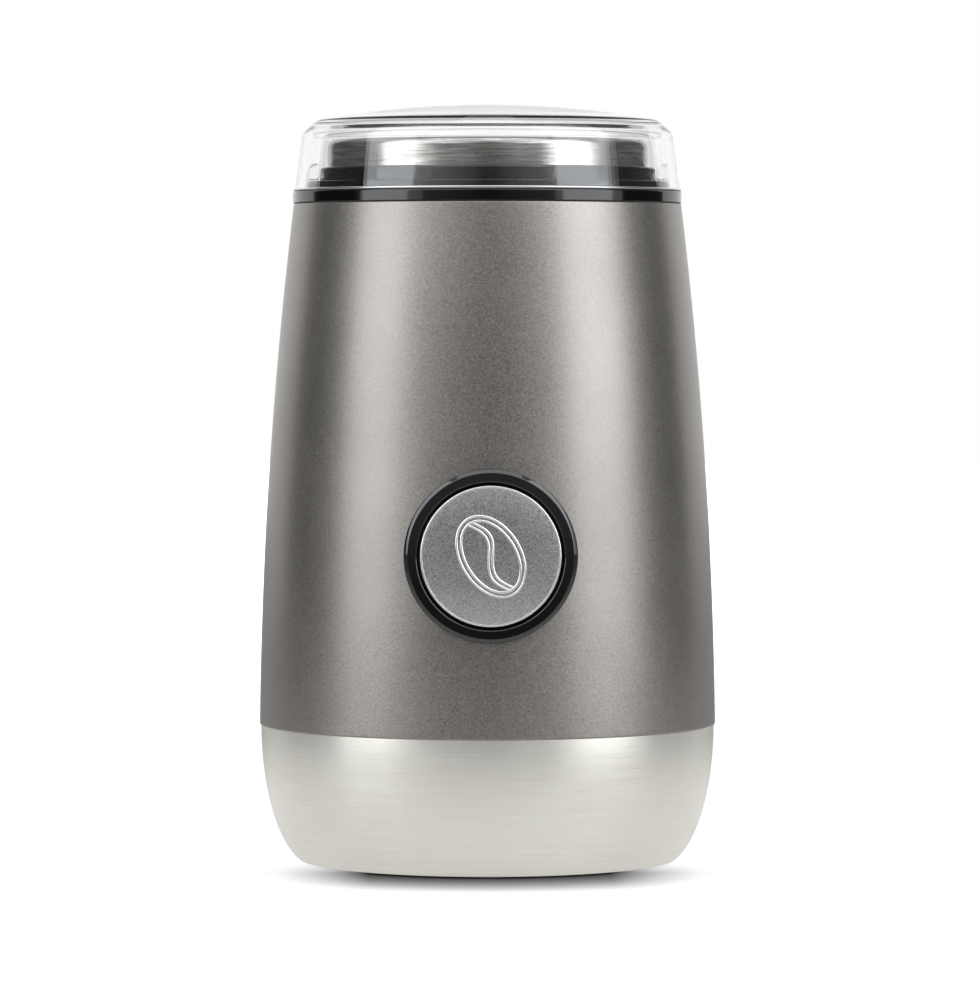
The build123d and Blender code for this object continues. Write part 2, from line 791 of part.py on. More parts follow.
# Button bezel: saddled flange, tube through the shell and a guide plate for the stem
with BuildPart() as button_bezel:
    saddle_start = button_plane.offset(guide_back)
    round_bar(saddle_start, bezel_radius, bezel_length)
    chamfer(faces().sort_by(Axis.Y).first.edges(), bezel_bevel)
    add(shell_fill.part, mode=Mode.SUBTRACT)
    round_bar(saddle_start, bezel_tube, bezel_length - bezel_bevel)
    round_bar(button_plane.offset(guide_front), bezel_bore, bezel_length, mode=Mode.SUBTRACT)
    stem_hole = stem_width + 2 * pin_gap
    block(saddle_start, stem_hole, stem_hole, bezel_length, mode=Mode.SUBTRACT)
button_bezel.part.label = "button_bezel"
export_step(button_bezel.part, "parts/button_bezel.step")

# Button cap: domed face, bevelled edge, skirt and a socket for the stem
with BuildPart() as button_cap:
    with BuildSketch(button_section):
        with BuildLine():
            face_radius = cap_radius - cap_chamfer
            TangentArc((cap_edge + cap_dome, 0), (cap_edge, face_radius), tangent=(0, 1))
            Polyline(
                (cap_edge, face_radius),
                (cap_edge - cap_chamfer, cap_radius),
                (cap_edge - cap_depth, cap_radius),
                (cap_edge - cap_depth, cap_radius - cap_wall),
                (cap_inside, cap_radius - cap_wall),
                (cap_inside, 0),
                (cap_edge + cap_dome, 0),
            )
        make_face()
    revolve(axis=button_axis)
    socket = button_plane.offset(cap_inside)
    socket_hole = stem_width + 2 * slip_fit
    block(socket, cap_socket_width, cap_socket_width, -cap_socket_depth)
    block(socket, socket_hole, socket_hole, -cap_socket_depth, mode=Mode.SUBTRACT)
button_cap.part.label = "button_cap"
export_step(button_cap.part, "parts/button_cap.step")

# Stem from the cap through the guide plate, with a head that keeps the cap in
with BuildPart() as button_stem:
    block(button_plane.offset(stem_back), stem_head_width, stem_head_width, -stem_head_length)
    block(button_plane.offset(stem_back), stem_width, stem_width, cap_inside - stem_back)
button_stem.part.label = "button_stem"
export_step(button_stem.part, "parts/button_stem.step")

with BuildPart() as button_spring:
    coil_spring(
        button_plane.offset(guide_front),
        cap_inside - guide_front,
        cap_socket_width / sqrt(2) + button_spring_gap + spring_wire,
    )
button_spring.part.label = "button_spring"
export_step(button_spring.part, "parts/button_spring.step")

# Start switch with its plunger behind the stem
with BuildPart() as start_switch:
    block(button_plane.offset(switch_back), switch_length, switch_thickness, switch_depth)
    block(
        button_plane.offset(switch_back + switch_depth / 2),
        switch_length + 2 * terminal_length,
        terminal_thickness,
        terminal_width / 2,
    )
    peg_hole = peg_radius + pin_gap
    flat_sided(level(switch_bottom), peg_hole, switch_thickness, switch_pegs, mode=Mode.SUBTRACT)
    plunger_hole = plunger_width + 2 * pin_gap
    block(
        button_plane.offset(switch_front),
        plunger_hole,
        plunger_hole,
        -plunger_bore_depth,
        mode=Mode.SUBTRACT,
    )
start_switch.part.label = "start_switch"
export_step(start_switch.part, "parts/start_switch.step")

with BuildPart() as switch_plunger:
    plunger_length = plunger_stand_off + plunger_bore_depth - button_travel - run_gap
    block(button_plane.offset(plunger_tip), plunger_width, plunger_width, -plunger_length)
switch_plunger.part.label = "switch_plunger"
export_step(switch_plunger.part, "parts/switch_plunger.step")

# Lid switch on the frame's tab, with ears for its lever's pin
ear_inside = lever_width / 2 + pin_gap
ear_middle = ear_inside + ear_wall / 2
with BuildPart() as lid_switch:
    block(
        level(lid_switch_bottom), switch_thickness, switch_length, switch_depth, [(rod_offset, 0)]
    )
    ears = [(rod_offset - ear_middle, -lever_pivot), (rod_offset + ear_middle, -lever_pivot)]
    block(level(lid_switch_top), ear_wall, 2 * ear_radius, lever_lift + ear_radius, ears)
    block(
        level(lid_switch_bottom - terminal_length),
        terminal_thickness,
        terminal_width,
        terminal_length,
        [(rod_offset, -peg_offset), (rod_offset, peg_offset)],
    )
    flat_sided(tab_plane, peg_hole, switch_thickness, pegs, mode=Mode.SUBTRACT)
    pin_plane = Plane(
        origin=(rod_offset - ear_inside - ear_wall, -lever_pivot, pivot_height),
        x_dir=(0, 1, 0),
        z_dir=(1, 0, 0),
    )
    pin_length = 2 * (ear_inside + ear_wall)
    round_bar(pin_plane, lever_pin + 2 * pin_gap, pin_length, mode=Mode.SUBTRACT)
lid_switch.part.label = "lid_switch"
export_step(lid_switch.part, "parts/lid_switch.step")

with BuildPart() as lid_switch_lever:
    block(
        level(pivot_height - lever_thickness / 2),
        lever_width,
        lever_length,
        lever_thickness,
        [(rod_offset, lever_length / 2 - lever_pivot)],
    )
    flat_sided(pin_plane, lever_pin, pin_length)
lid_switch_lever.part.label = "lid_switch_lever"
export_step(lid_switch_lever.part, "parts/lid_switch_lever.step")

# Interlock rod from the lid's finger to the lever, with a shoulder over its spring
with BuildPart() as interlock_rod:
    block(level(rod_bottom), rod_width, rod_width, rod_top - rod_bottom, [(rod_offset, 0)])
    block(
        level(deck_top + rod_shoulder_height),
        rod_shoulder_width,
        rod_shoulder_width,
        rod_shoulder_thickness,
        [(rod_offset, 0)],
    )
interlock_rod.part.label = "interlock_rod"
export_step(interlock_rod.part, "parts/interlock_rod.step")

with BuildPart() as interlock_spring:
    coil_spring(
        Plane(origin=(rod_offset, 0, deck_top)),
        rod_shoulder_height,
        (rod_width + spring_wire) / sqrt(2) + pin_gap,
    )
interlock_spring.part.label = "interlock_spring"
export_step(interlock_spring.part, "parts/interlock_spring.step")

# Clear lid: leaning side, bevelled shoulder, low dome, and two lugs with fingers
with BuildPart() as lid:
    with BuildSketch(Plane.XZ):
        with BuildLine():
            TangentArc((0, lid_edge + lid_dome), (lid_edge_radius, lid_edge), tangent=(1, 0))
            inner_edge_radius = lid_edge_radius - lid_wall / 2
            inner_edge = lid_edge - lid_wall
            Polyline(
                (0, lid_edge + lid_dome),
                (0, inner_edge + lid_dome),
                (inner_edge_radius, inner_edge),
                (lid_bore(lid_shoulder - lid_wall / 2), lid_shoulder - lid_wall / 2),
                (lid_bore(collar_top), collar_top),
                (lid_radius, collar_top),
                (lid_shoulder_radius, lid_shoulder),
                (lid_edge_radius, lid_edge),
            )
        make_face()
    revolve(axis=Axis.Z)
    finger_inner = rod_offset - rod_width / 2
    finger_outer = lid_bore(collar_top) - lid_gap
    lug_outer = lid_bore(lug_bottom) + lid_wall / 2
    for side in (1, -1):
        block(
            level(lug_bottom),
            lug_outer - finger_inner,
            lid_lug_width,
            lid_lug_height,
            [(side * (lug_outer + finger_inner) / 2, 0)],
        )
        block(
            level(finger_bottom),
            finger_outer - finger_inner,
            lid_lug_width,
            lug_bottom - finger_bottom,
            [(side * (finger_outer + finger_inner) / 2, 0)],
        )
lid.part.label = "lid"
export_step(lid.part, "parts/lid.step")

# Motor brackets: bar, hub for the bush, and two arms to the stator
bar_length = 2 * bolt_offset + arm_thickness
bush_seat = bush_radius + slip_fit
with BuildPart() as lower_bracket:
    block(level(lower_bar_bottom), bracket_width, bar_length, bracket_thickness)
    flat_sided(level(lower_hub_bottom), hub_radius, hub_drop + bracket_thickness)
    block(level(lower_bar_top), arm_width, arm_thickness, lower_arm, bolt_spots)
    lower_hub_length = hub_drop + bracket_thickness
    flat_sided(level(lower_hub_bottom), bush_seat, lower_hub_length, mode=Mode.SUBTRACT)
    flat_sided(level(lower_bar_bottom), bolt_hole, stator_bottom, bolt_spots, mode=Mode.SUBTRACT)
lower_bracket.part.label = "lower_bracket"
export_step(lower_bracket.part, "parts/lower_bracket.step")

with BuildPart() as upper_bracket:
    block(level(upper_bar_bottom), bracket_width, bar_length, bracket_thickness)
    flat_sided(level(upper_bar_bottom), hub_radius, bracket_thickness + hub_rise)
    block(level(stator_top), arm_width, arm_thickness, upper_arm, bolt_spots)
    upper_hub_length = bracket_thickness + hub_rise
    flat_sided(level(upper_bar_bottom), bush_seat, upper_hub_length, mode=Mode.SUBTRACT)
    flat_sided(level(stator_top), bolt_hole, deck_bottom, bolt_spots, mode=Mode.SUBTRACT)
upper_bracket.part.label = "upper_bracket"
export_step(upper_bracket.part, "parts/upper_bracket.step")

# Sintered bushes in the hubs, with flats that stop them turning
with BuildPart() as lower_bush:
    flat_sided(level(lower_hub_bottom), bush_radius, lower_hub_length)
    round_bar(level(lower_hub_bottom), shaft_hole, lower_hub_length, mode=Mode.SUBTRACT)
lower_bush.part.label = "lower_bush"
export_step(lower_bush.part, "parts/lower_bush.step")

with BuildPart() as upper_bush:
    flat_sided(level(upper_bar_bottom), bush_radius, upper_hub_length)
    round_bar(level(upper_bar_bottom), shaft_hole, upper_hub_length, mode=Mode.SUBTRACT)
upper_bush.part.label = "upper_bush"
export_step(upper_bush.part, "parts/upper_bush.step")

# Rubber dampers between bracket and deck
with BuildPart() as motor_dampers:
    flat_sided(level(upper_bar_top), mount_radius, damper_thickness, bolt_spots)
    flat_sided(level(upper_bar_top), bolt_hole, damper_thickness, bolt_spots, mode=Mode.SUBTRACT)
motor_dampers.part.label = "motor_dampers"
export_step(motor_dampers.part, "parts/motor_dampers.step")

# Bolts through brackets, stator and dampers into the deck's bosses
with BuildPart() as through_bolts:
    bolt_length = mount_bottom + bolt_grip - lower_bar_bottom
    flat_sided(level(lower_bar_bottom), bolt_radius, bolt_length, bolt_spots)
    flat_sided(level(lower_bar_bottom), bolt_head_radius, -bolt_head_height, bolt_spots, 6)
through_bolts.part.label = "through_bolts"
export_step(through_bolts.part, "parts/through_bolts.step")

# Stator: rounded yoke with two poles whose shoes embrace the armature
with BuildPart() as stator_core:
    with BuildSketch(level(stator_bottom)) as stator_sheet:
        with BuildSketch() as yoke:
            RectangleRounded(stator_length, stator_width, stator_corner)
            RectangleRounded(2 * window_x, 2 * window_y, window_corner, mode=Mode.SUBTRACT)
        pole_reach = window_x - stator_bore
        with Locations((stator_bore + pole_reach / 2, 0), (-stator_bore - pole_reach / 2, 0)):
            Rectangle(pole_reach, neck_width)
        with BuildSketch() as shoes:
            Circle(shoe_outer)
            wedge_x = 2 * shoe_outer * cos(radians(shoe_half_angle))
            wedge_y = 2 * shoe_outer * sin(radians(shoe_half_angle))
            for side in (1, -1):
                with BuildLine():
                    Polyline((0, 0), (wedge_x, side * wedge_y), (-wedge_x, side * wedge_y), close=True)
                make_face(mode=Mode.SUBTRACT)
        Circle(stator_bore, mode=Mode.SUBTRACT)
        with Locations(*bolt_spots):
            RegularPolygon(bolt_hole, 8, major_radius=False, mode=Mode.SUBTRACT)
    extrude(amount=stator_stack)
stator_core.part.label = "stator_core"
export_step(stator_core.part, "parts/stator_core.step")

# Field coils wound round the poles' necks
with BuildPart() as field_coils:
    coil_start = shoe_outer + run_gap
    coil_hole_width = neck_width + 2 * pin_gap
    coil_hole_height = stator_stack + 2 * pin_gap
    with BuildSketch(Plane.YZ.offset(coil_start)):
        with Locations((0, stator_middle)):
            Rectangle(2 * window_y - 2 * coil_margin, stator_stack + 2 * coil_overhang)
        chamfer(vertices(), coil_corner)
        with Locations((0, stator_middle)):
            Rectangle(coil_hole_width, coil_hole_height, mode=Mode.SUBTRACT)
    extrude(amount=coil_thickness)
    mirror(about=Plane.YZ)
field_coils.part.label = "field_coils"
export_step(field_coils.part, "parts/field_coils.step")

# Brush plate on the lower bracket, square holders with closed backs, brushes and springs
with BuildPart() as brush_plate:
    with BuildSketch(level(lower_bar_top)):
        Rectangle(brush_plate_length, brush_plate_width)
        chamfer(vertices(), brush_plate_corner)
        Circle(commutator_radius + holder_start, mode=Mode.SUBTRACT)
    extrude(amount=brush_plate_thickness)
brush_plate.part.label = "brush_plate"
export_step(brush_plate.part, "parts/brush_plate.step")

holder_bore = holder_size - 2 * holder_wall
with BuildPart() as brush_holders:
    with BuildSketch(Plane.YZ.offset(holder_front)):
        with Locations((0, brush_height)):
            Rectangle(holder_size, holder_size)
    extrude(amount=holder_length)
    with BuildSketch(Plane.YZ.offset(holder_front)):
        with Locations((0, brush_height)):
            Rectangle(holder_bore, holder_bore)
    extrude(amount=holder_length - holder_wall, mode=Mode.SUBTRACT)
    mirror(about=Plane.YZ)
brush_holders.part.label = "brush_holders"
export_step(brush_holders.part, "parts/brush_holders.step")

with BuildPart() as carbon_brushes:
    with BuildSketch(Plane.YZ.offset(commutator_radius / 2)):
        with Locations((0, brush_height)):
            Rectangle(brush_size, brush_size)
    extrude(amount=brush_end - commutator_radius / 2)
    round_bar(level(brush_plate_top), brush_start, holder_size, mode=Mode.SUBTRACT)
    mirror(about=Plane.YZ)
carbon_brushes.part.label = "carbon_brushes"
export_step(carbon_brushes.part, "parts/carbon_brushes.step")

leaf_room = holder_back - holder_wall - brush_end - 2 * pin_gap
leaf_step = leaf_room / leaf_folds
leaf_reach = (holder_bore - leaf_height) / 2 - run_gap
with BuildPart() as brush_springs:
    with BuildSketch(Plane.XZ):
        with BuildLine():
            lower_side = []
            upper_side = []
            for fold in range(leaf_folds + 1):
                leaf_x = brush_end + pin_gap + leaf_step * fold
                leaf_z = brush_height + leaf_reach * (-1) ** fold
                lower_side.append((leaf_x, leaf_z - leaf_height / 2))
                upper_side.append((leaf_x, leaf_z + leaf_height / 2))
            Polyline(*lower_side, *reversed(upper_side), close=True)
        make_face()
    extrude(amount=leaf_width / 2, both=True)
    mirror(about=Plane.YZ)
brush_springs.part.label = "brush_springs"
export_step(brush_springs.part, "parts/brush_springs.step")

# Circuit board on the rear posts, with the suppression capacitor and the mains terminals
board_plane = Plane(origin=(0, post_face, 0), x_dir=(-1, 0, 0), z_dir=(0, 1, 0))
with BuildPart() as circuit_board:
    board_middle = [(0, board_bottom + board_height / 2)]
    block(board_plane, board_length, board_height, board_thickness, board_middle)
circuit_board.part.label = "circuit_board"
export_step(circuit_board.part, "parts/circuit_board.step")

board_face = board_plane.offset(board_thickness)
part_height = board_bottom + board_part_height
with BuildPart() as suppression_capacitor:
    block(
        board_face,
        capacitor_length,
        capacitor_height,
        capacitor_depth,
        [(board_part_offset, part_height)],
    )
suppression_capacitor.part.label = "suppression_capacitor"
export_step(suppression_capacitor.part, "parts/suppression_capacitor.step")

with BuildPart() as terminal_block:
    block(
        board_face,
        terminal_block_length,
        terminal_block_height,
        terminal_block_depth,
        [(-board_part_offset, part_height)],
    )
    way_pitch = terminal_block_length / terminal_block_ways
    way_start = -board_part_offset - (terminal_block_ways - 1) / 2 * way_pitch
    ways = [(way_start + way * way_pitch, part_height) for way in range(terminal_block_ways)]
    way_depth = -terminal_block_depth / 2
    block(
        board_face.offset(terminal_block_depth),
        way_pitch / 2,
        terminal_block_height / 2,
        way_depth,
        ways,
        Mode.SUBTRACT,
    )
terminal_block.part.label = "terminal_block"
export_step(terminal_block.part, "parts/terminal_block.step")

# Motor shaft with a spacer collar at each bush
lower_shoulder = lower_bar_top + pin_gap
upper_shoulder = upper_bar_bottom - pin_gap
with BuildPart() as motor_shaft:
    round_bar(level(shaft_bottom), shaft_radius, blade_top + nut_height - shaft_bottom)
    flat_sided(level(lower_shoulder), shoulder_radius, commutator_bottom - lower_shoulder)
    flat_sided(level(winding_top), shoulder_radius, upper_shoulder - winding_top)
motor_shaft.part.label = "motor_shaft"
export_step(motor_shaft.part, "parts/motor_shaft.step")

# Armature: slotted core, windings through the slots, and the commutator
slot_middle = rotor_radius - core_slot_depth / 2
with BuildPart() as armature_core:
    with BuildSketch(level(stator_bottom)):
        Circle(rotor_radius)
        RegularPolygon(shaft_hole, 8, major_radius=False, mode=Mode.SUBTRACT)
        with PolarLocations(slot_middle + slip_fit, core_slots):
            Rectangle(core_slot_depth + 2 * slip_fit, core_slot_width, mode=Mode.SUBTRACT)
    extrude(amount=stator_stack)
armature_core.part.label = "armature_core"
export_step(armature_core.part, "parts/armature_core.step")

winding_radius = rotor_radius - winding_inset
with BuildPart() as armature_windings:
    for start, height in ((stator_top, winding_height), (stator_bottom, -winding_height)):
        with BuildSketch(level(start)):
            RegularPolygon(winding_radius, core_slots)
        extrude(amount=height, taper=winding_taper)
        flat_sided(level(start), shaft_hole, height, mode=Mode.SUBTRACT)
armature_windings.part.label = "armature_windings"
export_step(armature_windings.part, "parts/armature_windings.step")

# Commutator: one flat bar for each slot of the core, with a riser where the wires join
riser_radius = commutator_radius + commutator_riser
riser_bottom = commutator_bottom + commutator_length - commutator_riser
with BuildPart() as commutator:
    with BuildSketch(level(commutator_bottom)):
        RegularPolygon(commutator_radius, core_slots)
    extrude(amount=commutator_length)
    with BuildSketch(level(riser_bottom)):
        RegularPolygon(riser_radius, core_slots)
    extrude(amount=commutator_riser)
    flat_sided(level(commutator_bottom), shaft_hole, commutator_length, mode=Mode.SUBTRACT)
commutator.part.label = "commutator"
export_step(commutator.part, "parts/commutator.step")

# Cooling fan at the shaft's lower end, with leaning blades on a disc
with BuildPart() as cooling_fan:
    round_bar(level(fan_bottom), fan_radius, fan_disc)
    flat_sided(level(fan_bottom), fan_hub_radius, fan_disc + fan_blade_height)
    with BuildSketch(level(fan_bottom + fan_disc)):
        with PolarLocations(fan_radius - fan_blade_length / 2, fan_blade_count):
            Rectangle(fan_blade_length, fan_blade_wall, rotation=fan_blade_lean)
        Circle(fan_radius, mode=Mode.INTERSECT)
    extrude(amount=fan_blade_height)
    fan_height = fan_disc + fan_blade_height
    flat_sided(level(fan_bottom), shaft_hole, fan_height, mode=Mode.SUBTRACT)
cooling_fan.part.label = "cooling_fan"
export_step(cooling_fan.part, "parts/cooling_fan.step")

# Blade hub, blade with raised wings, and its domed nut
with BuildPart() as blade_hub:
    with BuildSketch(level(blade_hub_bottom)):
        Circle(blade_hub_radius)
    extrude(amount=blade_hub_height, taper=blade_hub_taper)
    flat_sided(level(blade_hub_bottom), shaft_hole, blade_hub_height, mode=Mode.SUBTRACT)
blade_hub.part.label = "blade_hub"
export_step(blade_hub.part, "parts/blade_hub.step")

blade_end = blade_span / 2
blade_side = blade_width / 2
with BuildPart() as grinding_blade:
    with BuildSketch(Plane.XZ):
        with BuildLine():
            Polyline(
                (-blade_end, blade_bottom + blade_rise),
                (-blade_flat, blade_bottom),
                (blade_flat, blade_bottom),
                (blade_end, blade_bottom + blade_rise),
                (blade_end, blade_top + blade_rise),
                (blade_flat, blade_top),
                (-blade_flat, blade_top),
                (-blade_end, blade_top + blade_rise),
                close=True,
            )
        make_face()
    extrude(amount=blade_width, both=True)
    with BuildSketch(level(blade_bottom)):
        with BuildLine():
            Polyline(
                (blade_end, -blade_side),
                (blade_end, blade_tip_width - blade_side),
                (blade_flat, blade_side),
                (-blade_end, blade_side),
                (-blade_end, blade_side - blade_tip_width),
                (-blade_flat, -blade_side),
                close=True,
            )
        make_face()
    extrude(amount=blade_rise + blade_thickness, mode=Mode.INTERSECT)
    flat_sided(level(blade_bottom), shaft_hole, blade_thickness, mode=Mode.SUBTRACT)
grinding_blade.part.label = "grinding_blade"
export_step(grinding_blade.part, "parts/grinding_blade.step")

with BuildPart() as blade_nut:
    with BuildSketch(level(blade_top)):
        RegularPolygon(nut_width / 2, 6, major_radius=False)
    extrude(amount=nut_height)
    with BuildSketch(level(blade_top + nut_height)):
        Circle(nut_width / 2)
    extrude(amount=nut_crown, taper=nut_crown_taper)
    flat_sided(level(blade_top), shaft_hole, nut_height, mode=Mode.SUBTRACT)
blade_nut.part.label = "blade_nut"
export_step(blade_nut.part, "parts/blade_nut.step")
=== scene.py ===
"""Looks of an electric coffee grinder: its turned, moulded and pressed pieces and its studio."""

import logging
import math
from abc import ABC, abstractmethod
from dataclasses import dataclass
from enum import Enum
from typing import Sequence

import bmesh
import bpy
from mathutils import Matrix, Vector


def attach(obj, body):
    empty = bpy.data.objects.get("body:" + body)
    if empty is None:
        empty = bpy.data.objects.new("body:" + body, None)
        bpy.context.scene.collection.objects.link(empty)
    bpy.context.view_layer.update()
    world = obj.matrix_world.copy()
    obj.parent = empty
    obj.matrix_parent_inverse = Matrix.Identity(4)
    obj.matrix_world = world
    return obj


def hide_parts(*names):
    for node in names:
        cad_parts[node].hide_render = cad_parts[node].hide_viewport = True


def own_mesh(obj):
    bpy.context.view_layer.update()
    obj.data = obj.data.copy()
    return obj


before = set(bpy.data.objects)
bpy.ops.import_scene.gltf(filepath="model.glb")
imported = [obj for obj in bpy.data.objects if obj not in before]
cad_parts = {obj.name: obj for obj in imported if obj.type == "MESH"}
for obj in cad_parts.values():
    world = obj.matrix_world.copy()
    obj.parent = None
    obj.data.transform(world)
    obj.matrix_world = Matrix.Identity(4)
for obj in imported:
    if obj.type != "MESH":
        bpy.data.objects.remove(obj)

LOG = logging.getLogger("grinder")
MM = 0.001
TINY = 1e-9
MERGE_DISTANCE = 1e-7
LONGEST_ROUND = 0.48
FLATTEST_CORNER = 0.02
FULL_TURN = 2.0 * math.pi
Colour = tuple[float, float, float]
Point2 = tuple[float, float]
Point3 = tuple[float, float, float]
Socket = bpy.types.NodeSocket


class Spin(Enum):
    """Axis that a turned piece is turned about."""

    UPRIGHT = "z"
    FORWARD = "y"


class Grain(Enum):
    """Way that the lines of a brushed, drawn or wound surface run."""

    AROUND_UPRIGHT = "around z"
    AROUND_FORWARD = "around y"
    ALONG_X = "along x"
    ALONG_Z = "along z"
    NONE = "none"


# Material nodes


class Web:
    """The nodes of one material, laid out round its Principled shader."""

    def __init__(self, name: str) -> None:
        """Starts a material.

        Args:
            name: Name of the new material.
        """
        self.material = bpy.data.materials.new(name)
        self.material.use_nodes = True
        self.tree = self.material.node_tree
        self.shader = self.tree.nodes["Principled BSDF"]
        self.place = self.node("ShaderNodeTexCoord").outputs["Object"]

    def node(self, kind: str, **settings: object) -> bpy.types.Node:
        """Adds a node.

        Args:
            kind: Blender's name of the node type.
            settings: Properties of the node to set.

        Returns:
            The new node.
        """
        made = self.tree.nodes.new(kind)
        for key, value in settings.items():
            setattr(made, key, value)
        return made

    def put(self, node: bpy.types.Node, socket: str | int, value: object) -> None:
        """Links or sets one input.

        Args:
            node: Node that has the input.
            socket: Name or number of the input.
            value: An output to link, or a plain value to set.
        """
        target = node.inputs[socket]
        if isinstance(value, bpy.types.NodeSocket):
            self.tree.links.new(value, target)
        else:
            target.default_value = value

    def maths(self, operation: str, first: object, second: object = 0.0) -> Socket:
        """Returns the result of one sum on two values or outputs.

        Args:
            operation: Blender's name of the operation.
            first: First value or output.
            second: Second value or output.

        Returns:
            The result's output.
        """
        made = self.node("ShaderNodeMath", operation=operation)
        self.put(made, 0, first)
        self.put(made, 1, second)
        return made.outputs[0]

    def stretched(self, scale: Point3) -> Socket:
        """Returns the object's coordinates, scaled along each axis.

        Args:
            scale: Factors along X, Y and Z.

        Returns:
            The scaled vector.
        """
        made = self.node("ShaderNodeMapping")
        self.put(made, "Vector", self.place)
        self.put(made, "Scale", scale)
        return made.outputs[0]

    def around(self, spin: Spin, along: float, across: float) -> Socket:
        """Returns coordinates whose noise runs in rings round an axis, with no seam.

        Args:
            spin: Axis of the rings.
            along: Scale along a ring.
            across: Scale from ring to ring.

        Returns:
            The vector.
        """
        parts = self.node("ShaderNodeSeparateXYZ")
        self.put(parts, 0, self.place)
        side = parts.outputs[0]
        back = parts.outputs[1 if spin is Spin.UPRIGHT else 2]
        rise = parts.outputs[2 if spin is Spin.UPRIGHT else 1]
        square = self.maths("ADD", self.maths("MULTIPLY", side, side), self.maths("MULTIPLY", back, back))
        reach = self.maths("ADD", self.maths("SQRT", square), rise)
        made = self.node("ShaderNodeCombineXYZ")
        self.put(made, 0, self.maths("MULTIPLY", side, along))
        self.put(made, 1, self.maths("MULTIPLY", back, along))
        self.put(made, 2, self.maths("MULTIPLY", reach, across))
        return made.outputs[0]

    def noise(self, vector: Socket, scale: float, detail: float = 3.0, rough: float = 0.5) -> Socket:
        """Returns a noise between 0 and 1.

        Args:
            vector: Coordinates of the noise.
            scale: Its scale.
            detail: Its octaves.
            rough: Strength of the finer octaves.

        Returns:
            The noise's factor.
        """
        made = self.node("ShaderNodeTexNoise")
        for socket, value in (("Vector", vector), ("Scale", scale), ("Detail", detail), ("Roughness", rough)):
            self.put(made, socket, value)
        return made.outputs["Fac"]

    def cells(self, vector: Socket, scale: float) -> Socket:
        """Returns one random value for each small cell of the surface.

        Args:
            vector: Coordinates of the cells.
            scale: Cells in each metre.

        Returns:
            The random value.
        """
        made = self.node("ShaderNodeTexVoronoi", feature="F1")
        self.put(made, "Vector", vector)
        self.put(made, "Scale", scale)
        parts = self.node("ShaderNodeSeparateColor")
        self.put(parts, 0, made.outputs["Color"])
        return parts.outputs[0]

    def spread(
        self, value: Socket, low: float, high: float, start: float = 0.25, end: float = 0.75
    ) -> Socket:
        """Returns a value mapped to another range.

        Args:
            value: Value to map.
            low: Result at the start of the range.
            high: Result at its end.
            start: Start of the range.
            end: End of the range.

        Returns:
            The mapped value.
        """
        made = self.node("ShaderNodeMapRange")
        for socket, number in (("From Min", start), ("From Max", end), ("To Min", low), ("To Max", high)):
            self.put(made, socket, number)
        self.put(made, "Value", value)
        return made.outputs[0]

    def tint(self, factor: Socket, colour: Colour, dark: float, light: float) -> None:
        """Gives the shader a colour that changes from a darker to a lighter one.

        Args:
            factor: 0 for the darker colour, 1 for the lighter.
            colour: The finish's own colour.
            dark: How bright the darker colour is, as a factor.
            light: How bright the lighter colour is.
        """
        made = self.node("ShaderNodeMix", data_type="RGBA")
        self.put(made, 0, factor)
        self.put(made, 6, (*shade(colour, dark), 1.0))
        self.put(made, 7, (*shade(colour, light), 1.0))
        self.put(self.shader, "Base Color", made.outputs[2])

    def rough(self, level: Socket) -> None:
        """Gives the shader its roughness."""
        self.put(self.shader, "Roughness", level)

    def relief(self, height: Socket, depth: float, strength: float = 1.0) -> None:
        """Gives the surface a bump.

        Args:
            height: Height between 0 and 1.
            depth: Depth in metres.
            strength: Strength of the bump.
        """
        made = self.node("ShaderNodeBump")
        self.put(made, "Strength", strength)
        self.put(made, "Distance", depth)
        self.put(made, "Height", height)
        self.put(self.shader, "Normal", made.outputs[0])

    def fix(self, **numbers: object) -> None:
        """Sets plain values on the shader's own inputs, named with underscores for spaces."""
        for key, value in numbers.items():
            self.shader.inputs[key.replace("_", " ")].default_value = value


def shade(colour: Colour, factor: float) -> Colour:
    """Returns a colour made lighter or darker by a factor."""
    return tuple(min(1.0, part * factor) for part in colour)


@dataclass(frozen=True)
class Finish(ABC):
    """A surface finish that can dress any piece."""

    name: str
    colour: Colour

    @abstractmethod
    def dress(self, web: Web) -> None:
        """Lays out the nodes of the finish."""

    def material(self) -> bpy.types.Material:
        """Returns the finish's material, made once.

        Returns:
            The material.
        """
        made = bpy.data.materials.get(self.name)
        if made is None:
            web = Web(self.name)
            self.dress(web)
            made = web.material
        return made


@dataclass(frozen=True)
class MetallicPaint(Finish):
    """Satin metallic paint: fine flakes under a thin clear coat."""

    flake: float = 5200.0
    roughness: float = 0.375
    cloud: float = 45.0
    peel: float = 900.0
    peel_depth: float = 0.000012

    def dress(self, web: Web) -> None:
        """Lays out flakes of differing brightness, soft clouds and a faint orange peel.

        Args:
            web: The material's nodes.
        """
        flakes = web.cells(web.place, self.flake)
        clouds = web.noise(web.place, self.cloud)
        tone = web.maths("ADD", web.spread(flakes, -0.32, 0.46, 0.0, 1.0), web.spread(clouds, 0.3, 0.6))
        web.tint(tone, self.colour, 0.72, 1.25)
        web.rough(web.maths("ADD", web.spread(flakes, -0.05, 0.06, 0.0, 1.0), self.roughness))
        waves = web.noise(web.place, self.peel, detail=2.0)
        web.relief(web.maths("ADD", waves, web.spread(flakes, 0.0, 0.35, 0.0, 1.0)), self.peel_depth, 0.35)
        web.fix(Metallic=0.95, Coat_Weight=0.15, Coat_Roughness=0.16, Coat_IOR=1.5)


